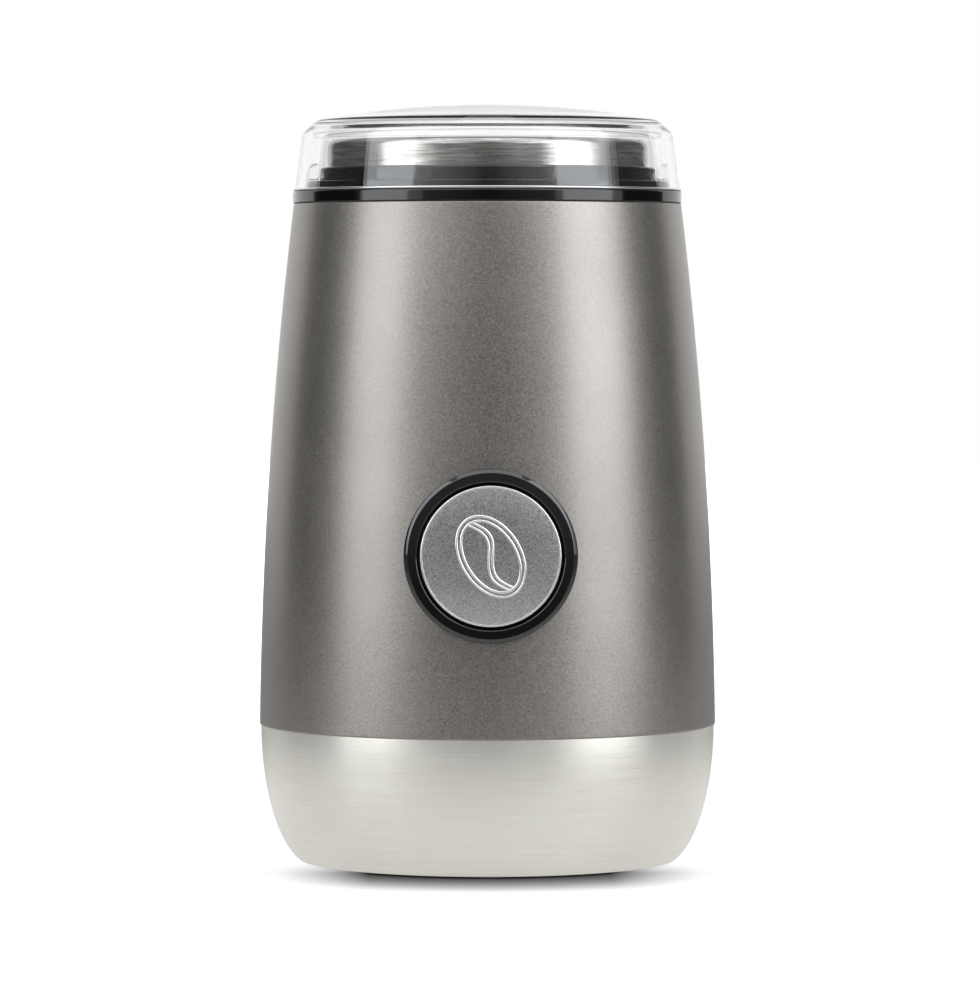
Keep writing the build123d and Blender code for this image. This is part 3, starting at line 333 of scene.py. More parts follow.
@dataclass(frozen=True)
class BrushedSteel(Finish):
    """Stainless or plated steel with fine lines, or an even grain where it has none."""

    grain: Grain = Grain.AROUND_UPRIGHT
    roughness: float = 0.3
    lines: float = 2600.0
    stretch: float = 0.0
    cut: float = 0.000012
    along: float = 40.0
    contrast: float = 0.1
    smudge: float = 60.0

    def lay(self, web: Web) -> Socket:
        """Returns coordinates that run along the grain.

        Args:
            web: The material's nodes.

        Returns:
            The vector.
        """
        if self.grain is Grain.NONE:
            return web.stretched((self.lines, self.lines, self.lines))
        if self.grain is Grain.ALONG_X:
            return web.stretched((self.along, self.lines, self.lines))
        spin = Spin.UPRIGHT if self.grain is Grain.AROUND_UPRIGHT else Spin.FORWARD
        return web.around(spin, self.along, self.lines)

    def dress(self, web: Web) -> None:
        """Lays out fine lines in colour, roughness and bump, with faint smudges.

        Args:
            web: The material's nodes.
        """
        fine = web.noise(self.lay(web), 1.0, detail=4.0, rough=0.65)
        smudges = web.noise(web.place, self.smudge)
        tone = web.maths("ADD", web.spread(fine, 0.0, 0.8), web.spread(smudges, -0.1, 0.2))
        web.tint(tone, self.colour, 1.0 - self.contrast, 1.0 + 0.6 * self.contrast)
        low = web.spread(fine, self.roughness - 0.04, self.roughness + 0.05)
        web.rough(web.maths("ADD", low, web.spread(smudges, -0.02, 0.04)))
        web.relief(fine, self.cut, 0.5)
        web.fix(Metallic=1.0)
        if self.stretch:
            tangent = web.node("ShaderNodeTangent", direction_type="RADIAL", axis="Z")
            web.put(web.shader, "Tangent", tangent.outputs[0])
            web.fix(Anisotropic=self.stretch, Anisotropic_Rotation=0.25)


@dataclass(frozen=True)
class GlossMoulding(Finish):
    """Polished plastic moulding, with hairline wipe marks."""

    roughness: float = 0.09
    specular: float = 0.62
    cloud: float = 90.0
    wipe: Point3 = (900.0, 900.0, 60.0)
    wave: float = 260.0

    def dress(self, web: Web) -> None:
        """Lays out a deep colour, hairlines in the gloss and a slight wave.

        Args:
            web: The material's nodes.
        """
        haze = web.noise(web.place, self.cloud, detail=4.0)
        hair = web.noise(web.stretched(self.wipe), 1.0, detail=5.0, rough=0.7)
        web.tint(haze, self.colour, 0.8, 1.5)
        gloss = web.maths("ADD", web.spread(haze, -0.02, 0.03), web.spread(hair, 0.0, 0.05, 0.5, 0.8))
        web.rough(web.maths("ADD", gloss, self.roughness))
        web.relief(web.noise(web.place, self.wave, detail=2.0), 0.00001, 0.25)
        web.fix(Specular_IOR_Level=self.specular)


@dataclass(frozen=True)
class ClearMoulding(Finish):
    """Clear plastic, polished in the mould, with faint flow and wipe marks."""

    ior: float = 1.46
    flow: Point3 = (30.0, 30.0, 110.0)
    wipe: Point3 = (1200.0, 1200.0, 90.0)
    wave: float = 120.0

    def dress(self, web: Web) -> None:
        """Lays out clear plastic with a trace of tint, gloss change and flow.

        Args:
            web: The material's nodes.
        """
        web.tint(web.noise(web.stretched(self.flow), 1.0), self.colour, 0.985, 1.0)
        hair = web.noise(web.stretched(self.wipe), 1.0, detail=4.0, rough=0.7)
        web.rough(web.spread(hair, 0.01, 0.05, 0.5, 0.85))
        web.relief(web.noise(web.place, self.wave, detail=2.0), 0.00001, 0.2)
        web.fix(Transmission_Weight=1.0, IOR=self.ior)


@dataclass(frozen=True)
class GrainedMoulding(Finish):
    """Plastic or board with a fine moulded or pressed grain."""

    roughness: float = 0.5
    grain: float = 1600.0
    depth: float = 0.00004
    dust: float = 55.0

    def dress(self, web: Web) -> None:
        """Lays out a pebbled grain with polished tops, painted shade darkening its hollows, and random dusty
        patches.

        Args:
            web: The material's nodes.
        """
        pebble = web.noise(web.place, self.grain, rough=0.6)
        patch = web.noise(web.place, self.dust, detail=4.0)
        # Painted shade: the tone follows the grain's height, darker in the hollows and lighter on the tops,
        # plus random patches.
        tone = web.maths("ADD", web.spread(pebble, 0.0, 0.55), web.spread(patch, 0.0, 0.45))
        web.tint(tone, self.colour, 0.7, 1.35)
        rough = web.maths("ADD", web.spread(pebble, 0.07, -0.07), web.spread(patch, -0.04, 0.06))
        web.rough(web.maths("ADD", rough, self.roughness))
        web.relief(pebble, self.depth, 0.6)


@dataclass(frozen=True)
class SpeckledLacquer(Finish):
    """Silver lacquer full of fine bright and dark specks, on the button's face."""

    speck: float = 3600.0
    roughness: float = 0.36
    wide_share: float = 0.45
    depth: float = 0.00002

    def dress(self, web: Web) -> None:
        """Lays out two sizes of speck under a thin clear coat.

        Args:
            web: The material's nodes.
        """
        fine = web.cells(web.place, self.speck)
        wide = web.cells(web.place, self.speck * self.wide_share)
        tone = web.maths("ADD", web.spread(fine, 0.0, 0.75, 0.0, 1.0), web.spread(wide, -0.1, 0.3, 0.0, 1.0))
        web.tint(tone, self.colour, 0.7, 1.35)
        web.rough(web.spread(fine, self.roughness - 0.08, self.roughness + 0.1, 0.0, 1.0))
        web.relief(fine, self.depth, 0.35)
        web.fix(Metallic=0.95, Coat_Weight=0.1, Coat_Roughness=0.2)


@dataclass(frozen=True)
class SoftRubber(Finish):
    """Matt rubber with a dusty bloom."""

    roughness: float = 0.72
    bloom: float = 130.0
    pit: float = 2600.0
    depth: float = 0.00003

    def dress(self, web: Web) -> None:
        """Lays out bloom, fine pits and a soft sheen.

        Args:
            web: The material's nodes.
        """
        bloom = web.noise(web.place, self.bloom, detail=5.0, rough=0.6)
        web.tint(bloom, self.colour, 1.0, 2.0)
        web.rough(web.spread(bloom, self.roughness - 0.06, self.roughness + 0.1))
        web.relief(web.noise(web.place, self.pit, detail=2.0), self.depth, 0.5)
        web.fix(Sheen_Weight=0.15, Sheen_Roughness=0.6)


@dataclass(frozen=True)
class CastMetal(Finish):
    """Cast, sintered or stamped metal with an open grain and a trace of oil."""

    roughness: float = 0.5
    grain: float = 1100.0
    depth: float = 0.00005
    stain: float = 80.0

    def dress(self, web: Web) -> None:
        """Lays out grain, stains and oiled patches.

        Args:
            web: The material's nodes.
        """
        open_grain = web.noise(web.place, self.grain, detail=4.0, rough=0.65)
        oil = web.noise(web.place, self.stain)
        web.tint(open_grain, self.colour, 0.7, 1.2)
        rough = web.maths("ADD", web.spread(open_grain, -0.08, 0.1), web.spread(oil, -0.12, 0.05))
        web.rough(web.maths("ADD", rough, self.roughness))
        web.relief(open_grain, self.depth, 0.7)
        web.fix(Metallic=1.0)


@dataclass(frozen=True)
class LinedStack(Finish):
    """Stacked sheets or wound wire: even lines with a shadow between each pair."""

    pitch: float = 0.0005
    across: Grain = Grain.ALONG_Z
    metallic: float = 1.0
    roughness: float = 0.4
    sway: float = 140.0
    stain: float = 160.0
    depth: float = 0.00008

    def dress(self, web: Web) -> None:
        """Lays out the lines across one axis, uneven in tone and slightly wavy.

        Args:
            web: The material's nodes.
        """
        parts = web.node("ShaderNodeSeparateXYZ")
        web.put(parts, 0, web.place)
        way = {Grain.ALONG_X: 0, Grain.ALONG_Z: 2}[self.across]
        sway = web.spread(web.noise(web.place, self.sway, detail=2.0), -0.35, 0.35)
        count = web.maths("ADD", web.maths("MULTIPLY", parts.outputs[way], 1.0 / self.pitch), sway)
        wave = web.maths("SINE", web.maths("MULTIPLY", count, FULL_TURN))
        lines = web.spread(wave, 0.0, 1.0, -1.0, 1.0)
        stain = web.noise(web.place, self.stain, detail=4.0)
        tone = web.maths("ADD", web.maths("MULTIPLY", lines, 0.6), web.spread(stain, 0.0, 0.4))
        web.tint(tone, self.colour, 0.4, 1.25)
        web.rough(web.spread(stain, self.roughness - 0.08, self.roughness + 0.12))
        web.relief(lines, self.depth, 0.8)
        web.fix(Metallic=self.metallic)


class Finishes:
    """Every finish on the grinder, in the words of its makers."""

    SHELL = MetallicPaint("taupe_metallic_paint", (0.33, 0.3085, 0.2865))
    RING = BrushedSteel(
        "ring_brushed_steel", (0.98, 0.928, 0.85), Grain.AROUND_UPRIGHT, roughness=0.3,
        lines=6500.0, stretch=0.5, cut=0.000006, along=60.0, contrast=0.14,
    )
    BOWL = BrushedSteel(
        "bowl_brushed_steel", (0.52, 0.503, 0.482), Grain.AROUND_UPRIGHT, roughness=0.2,
        lines=2300.0, stretch=0.3, cut=0.00001, along=110.0, contrast=0.6,
    )
    BLADE = BrushedSteel(
        "blade_ground_steel", (0.7, 0.7, 0.7), Grain.ALONG_X, roughness=0.22, lines=2400.0, along=20.0
    )
    SHAFT = BrushedSteel("shaft_ground_steel", (0.6, 0.6, 0.6), roughness=0.2, lines=3000.0)
    SCREWS = BrushedSteel(
        "screw_plated_steel", (0.58, 0.58, 0.6), Grain.NONE, roughness=0.3, lines=900.0
    )
    SPRINGS = BrushedSteel(
        "spring_drawn_steel", (0.5, 0.5, 0.52), Grain.NONE, roughness=0.28, lines=900.0
    )
    # Bright metal bead on the clear lid's base: a painted highlight standing in for light carried through the
    # clear wall.
    LID_BASE_HIGHLIGHT = BrushedSteel(
        "lid_bead_painted_highlight", (0.7, 0.7, 0.71), Grain.AROUND_UPRIGHT, roughness=0.16,
        lines=900.0, cut=0.000002,
    )
    RELIEF = BrushedSteel(
        "cap_relief_polished", (0.95, 0.947, 0.94), Grain.AROUND_FORWARD, roughness=0.3,
        lines=900.0, cut=0.000001, along=14.0,
    )
    EDGE = BrushedSteel(
        "cap_edge_polished", (0.97, 0.965, 0.96), Grain.AROUND_FORWARD, roughness=0.32,
        lines=900.0, cut=0.000001, along=14.0,
    )
    COLLAR = GlossMoulding("collar_gloss_black", (0.003, 0.003, 0.0032))
    BEZEL = GlossMoulding("bezel_gloss_black", (0.0022, 0.0022, 0.0024), roughness=0.08, specular=1.0)
    LID = ClearMoulding("lid_clear_plastic", (0.985, 0.99, 0.99))
    CAP = SpeckledLacquer("cap_silver_speckle", (0.58, 0.577, 0.57), speck=7600.0, roughness=0.3)
    COVER = GrainedMoulding("cover_black_grain", (0.03, 0.03, 0.032), 0.55)
    INNER = GrainedMoulding("frame_filled_plastic", (0.11, 0.11, 0.115), 0.5, 700.0)
    SWITCH = GrainedMoulding("switch_black_moulding", (0.06, 0.06, 0.065), 0.4, 2600.0, 0.00002)
    NATURAL = GrainedMoulding("natural_moulding", (0.74, 0.73, 0.69), 0.35, 1900.0, 0.00002)
    FAN = GrainedMoulding("fan_grey_moulding", (0.14, 0.14, 0.15), 0.45, 1500.0, 0.00002)
    HUB = GrainedMoulding("hub_black_moulding", (0.035, 0.035, 0.037), 0.38, 1800.0, 0.00002)
    CAPACITOR = GrainedMoulding("capacitor_box", (0.68, 0.52, 0.1), 0.3, 1200.0, 0.00002)
    TERMINAL = GrainedMoulding("terminal_moulding", (0.66, 0.66, 0.63), 0.42, 1700.0, 0.00002)
    CARBON = GrainedMoulding("brush_graphite", (0.045, 0.045, 0.047), 0.6, 3200.0, 0.00003)
    BOARD = GrainedMoulding("board_green_lacquer", (0.05, 0.19, 0.08), 0.3, 900.0, 0.00002)
    RUBBER = SoftRubber("rubber_black", (0.022, 0.022, 0.022))
    ALLOY = CastMetal("bracket_cast_alloy", (0.62, 0.62, 0.63), 0.5)
    BRONZE = CastMetal("bush_sintered_bronze", (0.5, 0.33, 0.16), 0.55, 2600.0)
    BRASS = CastMetal("holder_pressed_brass", (0.7, 0.55, 0.26), 0.34, 600.0, 0.00001)
    COPPER = LinedStack(
        "commutator_turned_copper", (0.66, 0.33, 0.18), pitch=0.0004, across=Grain.ALONG_Z, roughness=0.3
    )
    WIRE = LinedStack(
        "winding_enamelled_wire", (0.46, 0.17, 0.06), pitch=0.0007, across=Grain.ALONG_X,
        metallic=0.6, roughness=0.3,
    )
    CORE = LinedStack(
        "core_blued_sheets", (0.2, 0.21, 0.24), pitch=0.0006, across=Grain.ALONG_Z,
        metallic=0.9, roughness=0.42,
    )


# Sections and turned meshes


def fillet(before: Point2, corner: Point2, after: Point2, radius: float, steps: int) -> list[Point2]:
    """Returns the points of a rounded corner.

    Args:
        before: Point before the corner.
        corner: The corner.
        after: Point after the corner.
        radius: Radius of the round, cut back where an edge is short.
        steps: Steps along the round.

    Returns:
        The points, or the corner alone where it has no round.
    """
    here = Vector(corner)
    back, ahead = Vector(before) - here, Vector(after) - here
    if radius <= 0.0 or back.length < TINY or ahead.length < TINY:
        return [corner]
    turn = back.angle(ahead)
    if turn > math.pi - FLATTEST_CORNER:
        return [corner]
    longest = LONGEST_ROUND * min(back.length, ahead.length)
    reach = min(radius / math.tan(turn / 2.0), longest)
    radius = reach * math.tan(turn / 2.0)
    middle = here + (back.normalized() + ahead.normalized()).normalized() * (radius / math.sin(turn / 2.0))
    start = here + back.normalized() * reach - middle
    end = here + ahead.normalized() * reach - middle
    sweep = start.angle_signed(end)
    points = []
    for step in range(steps + 1):
        angle = -sweep * step / steps
        x = start.x * math.cos(angle) - start.y * math.sin(angle)
        y = start.x * math.sin(angle) + start.y * math.cos(angle)
        points.append((middle.x + x, middle.y + y))
    return points


@dataclass
class Section:
    """Closed section of a turned piece: (radius, height, corner round) in millimetres."""

    corners: Sequence[Point3]
    steps: int = 5

    def points(self) -> list[Point2]:
        """Returns the rounded section in metres.

        Returns:
            The points, as (radius, height).
        """
        found: list[Point2] = []
        count = len(self.corners)
        for index, (radius, height, corner_round) in enumerate(self.corners):
            before = self.corners[index - 1][:2]
            after = self.corners[(index + 1) % count][:2]
            found += fillet(before, (radius, height), after, corner_round, self.steps)
        return [(radius * MM, height * MM) for radius, height in found]


def finish_mesh(name: str, work: bmesh.types.BMesh, smooth_to: float = 34.0) -> bpy.types.Object:
    """Turns bmesh work into a smooth-shaded object with its hard edges marked.

    Args:
        name: Name of the piece.
        work: The bmesh, freed here.
        smooth_to: Angle in degrees above which an edge stays hard.

    Returns:
        The new object, in the scene.
    """
    bmesh.ops.remove_doubles(work, verts=work.verts, dist=MERGE_DISTANCE)
    bmesh.ops.recalc_face_normals(work, faces=work.faces)
    for face in work.faces:
        face.smooth = True
    limit = math.radians(smooth_to)
    for edge in work.edges:
        if len(edge.link_faces) == 2:
            edge.smooth = edge.calc_face_angle(0.0) < limit
    mesh = bpy.data.meshes.new(name)
    work.to_mesh(mesh)
    work.free()
    piece = bpy.data.objects.new(name, mesh)
    bpy.context.scene.collection.objects.link(piece)
    even = piece.modifiers.new("even_shading", "WEIGHTED_NORMAL")
    even.keep_sharp = True
    return piece


def seat(point: Point3, spin: Spin) -> Vector:
    """Returns a point turned about Z as it is, or laid over so that its axis points to the front.

    Args:
        point: Point of a piece drawn upright.
        spin: Axis of the piece.

    Returns:
        The point in the row frame.
    """
    if spin is Spin.UPRIGHT:
        return Vector(point)
    return Vector((point[0], -point[2], point[1]))


def turn_into(
    work: bmesh.types.BMesh,
    section: Sequence[Point2],
    spin: Spin = Spin.UPRIGHT,
    centre: Point3 = (0.0, 0.0, 0.0),
    segments: int = 160,
    arc: tuple[float, float] = (0.0, FULL_TURN),
) -> None:
    """Turns a closed section about an axis, into a bmesh.

    Args:
        work: The bmesh to add to.
        section: Points as (radius, height) in metres.
        spin: Axis of turning.
        centre: Point that the axis passes through.
        segments: Segments round the full arc.
        arc: First and last angle.
    """
    whole = abs(arc[1] - arc[0] - FULL_TURN) < TINY
    rings = []
    for step in range(segments if whole else segments + 1):
        angle = arc[0] + (arc[1] - arc[0]) * step / segments
        ring = []
        for radius, height in section:
            local = (radius * math.cos(angle), radius * math.sin(angle), height)
            ring.append(work.verts.new(seat(local, spin) + Vector(centre)))
        rings.append(ring)
    following_rings = rings[1:] + rings[:1] if whole else rings[1:]
    for first, second in zip(rings, following_rings):
        for index in range(len(section)):
            following = (index + 1) % len(section)
            on_axis = section[index][0] < TINY and section[following][0] < TINY
            if not on_axis:
                work.faces.new((first[index], second[index], second[following], first[following]))
    if not whole:
        for ring in (rings[0], rings[-1]):
            work.faces.new(ring)


def turned(
    name: str,
    section: Sequence[Point2],
    spin: Spin = Spin.UPRIGHT,
    level: float = 0.0,
    segments: int = 160,
    smooth_to: float = 34.0,
) -> bpy.types.Object:
    """Returns a piece turned in one go from a closed section.

    Args:
        name: Name of the piece.
        section: Points as (radius, height) in metres.
        spin: Axis of turning.
        level: Height of the axis's origin in millimetres.
        segments: Segments round the turn.
        smooth_to: Angle in degrees above which an edge stays hard.

    Returns:
        The new object, in the scene.
    """
    work = bmesh.new()
    turn_into(work, section, spin, (0.0, 0.0, level * MM), segments)
    return finish_mesh(name, work, smooth_to)


def round_section(radius: float, height: float, bead: float, steps: int) -> list[Point2]:
    """Returns the round section of a bead in metres, from its middle and radius in millimetres."""
    angles = [FULL_TURN * step / steps for step in range(steps)]
    return [((radius + bead * math.cos(a)) * MM, (height + bead * math.sin(a)) * MM) for a in angles]


def skin_into(
    work: bmesh.types.BMesh,
    rings: Sequence[list[bmesh.types.BMVert]],
    looped: bool = False,
    ends: bool = True,
) -> None:
    """Joins a row of closed rings with bands of faces.

    Args:
        work: The bmesh to add to.
        rings: Rings with equal numbers of points.
        looped: Whether the last ring joins the first.
        ends: Whether a row that isn't looped gets a face at each end.
    """
    following_rings = rings[1:] + rings[:1] if looped else rings[1:]
    for first, second in zip(rings, following_rings):
        for index in range(len(first)):
            other = (index + 1) % len(first)
            work.faces.new((first[index], second[index], second[other], first[other]))
    if ends and not looped:
        work.faces.new(rings[0])
        work.faces.new(rings[-1])


def block_into(work: bmesh.types.BMesh, low: Point3, high: Point3, edge: float = 0.0) -> None:
    """Adds a moulded block with bevelled edges to a bmesh.

    Args:
        work: The bmesh to add to.
        low: Lowest corner in metres.
        high: Highest corner in metres.
        edge: Width of the bevels.
    """
    middle = [(a + b) / 2.0 for a, b in zip(low, high)]
    size = [b - a for a, b in zip(low, high)]
    place = Matrix.Translation(middle) @ Matrix.Diagonal((*size, 1.0))
    made = bmesh.ops.create_cube(work, size=1.0, matrix=place)
    if edge > 0.0:
        edges = {e for vert in made["verts"] for e in vert.link_edges}
        bmesh.ops.bevel(work, geom=list(edges), offset=edge, segments=3, affect="EDGES", profile=0.5)


@dataclass
class SubAssembly(ABC):
    """Pieces of the grinder that belong together and ride on one body."""

    body: str

    def settle(
        self, piece: bpy.types.Object, finish: Finish, slot: str, stands_for: Sequence[str] = ()
    ) -> bpy.types.Object:
        """Gives a piece its finish, its body and the CAD nodes that it stands for.

        Args:
            piece: The piece.
            finish: Its finish.
            slot: Name of a material slot; not used.
            stands_for: CAD nodes that it replaces.

        Returns:
            The piece.
        """
        piece.data.materials.append(finish.material())
        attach(piece, self.body)
        if stands_for:
            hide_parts(*stands_for)
        LOG.info("%s: %s on %s", type(self).__name__, piece.name, self.body)
        return piece

    def keep(self, node: str, finish: Finish) -> None:
        """Dresses a CAD node that stays in view.

        Args:
            node: Name of the node.
            finish: Its finish.
        """
        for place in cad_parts[node].material_slots:
            place.material = finish.material()
        LOG.info("%s: node %s dressed", type(self).__name__, node)

    @abstractmethod
    def build(self) -> None:
        """Makes the pieces and dresses the nodes that stay."""


@dataclass
class SteelRing(SubAssembly):
    """Brushed steel ring that the grinder stands in: drawn side, slanted hem, flat flange."""

    seam_radius: float = 49.8
    seam_height: float = 30.3
    side_round: float = 11.5
    drop: float = 30.9
    sweep: float = 75.3
    lift: float = 0.4
    hem: float = 1.6
    flange: float = 7.6
    flange_height: float = 3.2
    sheet: float = 0.7

    def side(self, inset: float, steps: int) -> list[Point3]:
        """Returns the drawn side from the seam down, set in by a distance.

        Args:
            inset: Distance inside the outer side.
            steps: Steps along the side.

        Returns:
            Corners of the side.
        """
        centre = self.seam_radius - self.side_round
        corners = []
        for step in range(steps + 1):
            angle = math.radians(self.sweep) * step / steps
            radius = centre + (self.side_round - inset) * math.cos(angle)
            corners.append((radius, self.seam_height - (self.drop - inset) * math.sin(angle), 0.0))
        return corners

    def build(self) -> None:
        """Turns the ring and dresses it with lines that run round it."""
        outer = self.side(0.0, 44)
        inner = self.side(self.sheet, 30)
        edge_radius = outer[-1][0]
        hem_radius = edge_radius - self.hem
        top = [
            (self.seam_radius, self.seam_height, 0.06),
            (self.seam_radius - 0.01, self.seam_height - 0.6, 0.0),
        ]
        low = [(edge_radius, self.lift, 0.35), (hem_radius, self.flange_height, 0.2)]
        flange_end = hem_radius + self.sheet / 2.0 - self.flange
        back = [
            (flange_end, self.flange_height, 0.15),
            (flange_end, self.flange_height + self.sheet, 0.15),
            (hem_radius + self.sheet / 2.0, self.flange_height + self.sheet, 0.2),
        ]
        up = [(radius, height, 0.0) for radius, height, _ in reversed(inner[1:])]
        lip = [(self.seam_radius - self.sheet, self.seam_height, 0.2)]
        section = Section([*top, *outer[2:-1], *low, *back, *up, *lip]).points()
        piece = turned("steel_ring", section, segments=224, smooth_to=40.0)
        self.settle(piece, Finishes.RING, "steel_brushed", ["base_ring"])


@dataclass
class PaintedShell(SubAssembly):
    """Painted metal body: a gently swelling cone with the button's and the cord's holes."""

    top_radius: float = 42.5
    bottom_radius: float = 50.1
    seam: float = 30.3
    top: float = 144.55
    bulge: float = 1.55
    wall: float = 1.8
    edge: float = 0.3
    columns: int = 256
    rows: int = 104
    holes: Sequence[tuple[float, float, float]] = ((-90.0, 69.3, 17.2), (90.0, 42.0, 4.85))
    hole_sector: float = 1.2
    hole_snap: float = 0.75
    edge_steps: int = 4

    def radius(self, height: float) -> float:
        """Returns the outer radius at a height.

        Args:
            height: Height in millimetres.

        Returns:
            The radius in millimetres.
        """
        rise = self.top - self.seam
        flare = self.bottom_radius - self.top_radius
        chord = math.hypot(flare, rise)
        side_radius = (chord**2 / 4.0 + self.bulge**2) / (2.0 * self.bulge)
        back = (side_radius - self.bulge) / chord
        centre_r = (self.bottom_radius + self.top_radius) / 2.0 - back * rise
        centre_z = (self.seam + self.top) / 2.0 - back * flare
        return centre_r + math.sqrt(side_radius**2 - (height - centre_z) ** 2)

    def levels(self) -> list[Point2]:
        """Returns each row's height and inset, with the two edges rounded over.

        Returns:
            The rows, from the seam up.
        """
        quarter = [math.radians(90.0 * step / self.edge_steps) for step in range(self.edge_steps + 1)]
        low = [(self.seam + self.edge * (1 - math.cos(a)), self.edge * (1 - math.sin(a))) for a in quarter]
        high = [(self.top - self.edge * (1 - math.cos(a)), self.edge * (1 - math.sin(a))) for a in quarter]
        start, end = self.seam + self.edge, self.top - self.edge
        between = [(start + (end - start) * row / self.rows, 0.0) for row in range(1, self.rows)]
        return [*low, *between, *reversed(high)]

    def to_hole(self, angle: float, height: float) -> tuple[float, float, bool]:
        """Moves a grid point that lies near a hole's rim onto the rim.

        Args:
            angle: Angle about the axis.
            height: Height in millimetres.

        Returns:
            The angle and height to use, and whether the point is on or in a hole.
        """
        for bearing, level, size in self.holes:
            reach = self.radius(height)
            off = (angle - math.radians(bearing) + math.pi) % FULL_TURN - math.pi
            across, rise = reach * math.sin(off), height - level
            away = math.hypot(across, rise)
            if abs(off) >= self.hole_sector:
                continue
            if abs(away - size) < self.hole_snap:
                rise *= size / away
                across *= size / away
                new_height = level + rise
                return math.radians(bearing) + math.asin(across / self.radius(new_height)), new_height, True
            if away < size:
                return angle, height, True
        return angle, height, False

    def build(self) -> None:
        """Builds outer and inner skins on one grid and joins them at edges and holes."""
        work = bmesh.new()
        levels = self.levels()
        skins: list[list[list[bmesh.types.BMVert]]] = [[], []]
        cut: list[list[bool]] = []
        for column in range(self.columns):
            angle = FULL_TURN * column / self.columns
            flags, outer, inner = [], [], []
            for height, inset in levels:
                bearing, level, gone = self.to_hole(angle, height)
                flags.append(gone)
                for line, depth in ((outer, inset), (inner, self.wall)):
                    reach = (self.radius(level) - depth) * MM
                    spot = (reach * math.cos(bearing), reach * math.sin(bearing), level * MM)
                    line.append(work.verts.new(spot))
            skins[0].append(outer)
            skins[1].append(inner)
            cut.append(flags)
        last = len(levels) - 1
        for column in range(self.columns):
            following = (column + 1) % self.columns
            for row in range(last):
                spots = ((column, row), (following, row), (following, row + 1), (column, row + 1))
                if not all(cut[c][r] for c, r in spots):
                    for skin in skins:
                        work.faces.new([skin[c][r] for c, r in spots])
            for row in (0, last):
                ring = (skins[0][column][row], skins[0][following][row])
                work.faces.new((*ring, skins[1][following][row], skins[1][column][row]))
        twin = {vert: skins[1][c][r] for c, line in enumerate(skins[0]) for r, vert in enumerate(line)}
        rims = [e for e in work.edges if len(e.link_faces) == 1 and all(v in twin for v in e.verts)]
        for rim in rims:
            first, second = rim.verts
            work.faces.new((first, second, twin[second], twin[first]))
        bmesh.ops.delete(work, geom=[v for v in work.verts if not v.link_faces], context="VERTS")
        piece = finish_mesh("painted_shell", work, 50.0)
        self.settle(piece, Finishes.SHELL, "paint_taupe", ["outer_shell"])


@dataclass
class GlossCollar(SubAssembly):
    """Glossy black collar: flange on the shell, locating rib, upstand and finger slots."""

    inner: float = 33.1
    outer: float = 42.6
    low: float = 144.55
    top: float = 147.3
    rib_inner: float = 38.62
    rib_outer: float = 39.82
    rib_top: float = 149.1
    upstand_inner: float = 34.7
    upstand_outer: float = 36.8
    upstand_top: float = 152.2
    band_bottom: float = 149.5
    slot_inner: float = 36.9
    slot_outer: float = 40.5
    slot_width: float = 5.2
    tab_inner: float = 38.6
    tab_outer: float = 40.1
    tab_low: float = 141.0
    tab_top: float = 144.95
    tab_half_width: float = 6.0
    tab_edge: float = 0.3

    def sectors(self, work: bmesh.types.BMesh) -> None:
        """Turns the collar in two halves and fills in round the two finger slots.

        Args:
            work: The bmesh to add to.
        """
        whole = [
            (self.inner, self.low, 0.2), (self.outer, self.low, 0.25), (self.outer, self.top, 0.55),
            (self.rib_outer, self.top, 0.15), (self.rib_outer, self.rib_top, 0.3),
            (self.rib_inner, self.rib_top, 0.3), (self.rib_inner, self.top, 0.15),
            (self.upstand_outer, self.top, 0.2), (self.upstand_outer, self.upstand_top, 0.5),
            (self.upstand_inner, self.upstand_top, 0.3), (self.upstand_inner, self.band_bottom, 0.1),
            (self.inner, self.band_bottom, 0.2),
        ]
        within = [
            (self.inner, self.low, 0.2), (self.slot_inner, self.low, 0.0), (self.slot_inner, self.top, 0.0),
            (self.upstand_outer, self.top, 0.0), (self.upstand_outer, self.upstand_top, 0.5),
            (self.upstand_inner, self.upstand_top, 0.3), (self.upstand_inner, self.band_bottom, 0.1),
            (self.inner, self.band_bottom, 0.2),
        ]
        beyond = [
            (self.slot_outer, self.low, 0.0), (self.outer, self.low, 0.25), (self.outer, self.top, 0.55),
            (self.slot_outer, self.top, 0.0),
        ]
        half = math.asin(self.slot_width / 2.0 / self.rib_inner)
        for side in (0.0, math.pi):
            turn_into(work, Section(whole).points(), segments=110, arc=(side + half, side + math.pi - half))
            for corners in (within, beyond):
                turn_into(work, Section(corners).points(), segments=6, arc=(side - half, side + half))

    def build(self) -> None:
        """Makes the collar, with its four tabs inside the shell."""
        work = bmesh.new()
        self.sectors(work)
        low = (self.tab_inner * MM, -self.tab_half_width * MM, self.tab_low * MM)
        high = (self.tab_outer * MM, self.tab_half_width * MM, self.tab_top * MM)
        for quarter in range(4):
            turn = Matrix.Rotation(math.radians(45 + 90 * quarter), 4, "Z")
            before = set(work.verts)
            block_into(work, low, high, self.tab_edge * MM)
            bmesh.ops.transform(work, matrix=turn, verts=[v for v in work.verts if v not in before])
        self.settle(finish_mesh("gloss_collar", work), Finishes.COLLAR, "gloss_black", ["collar"])


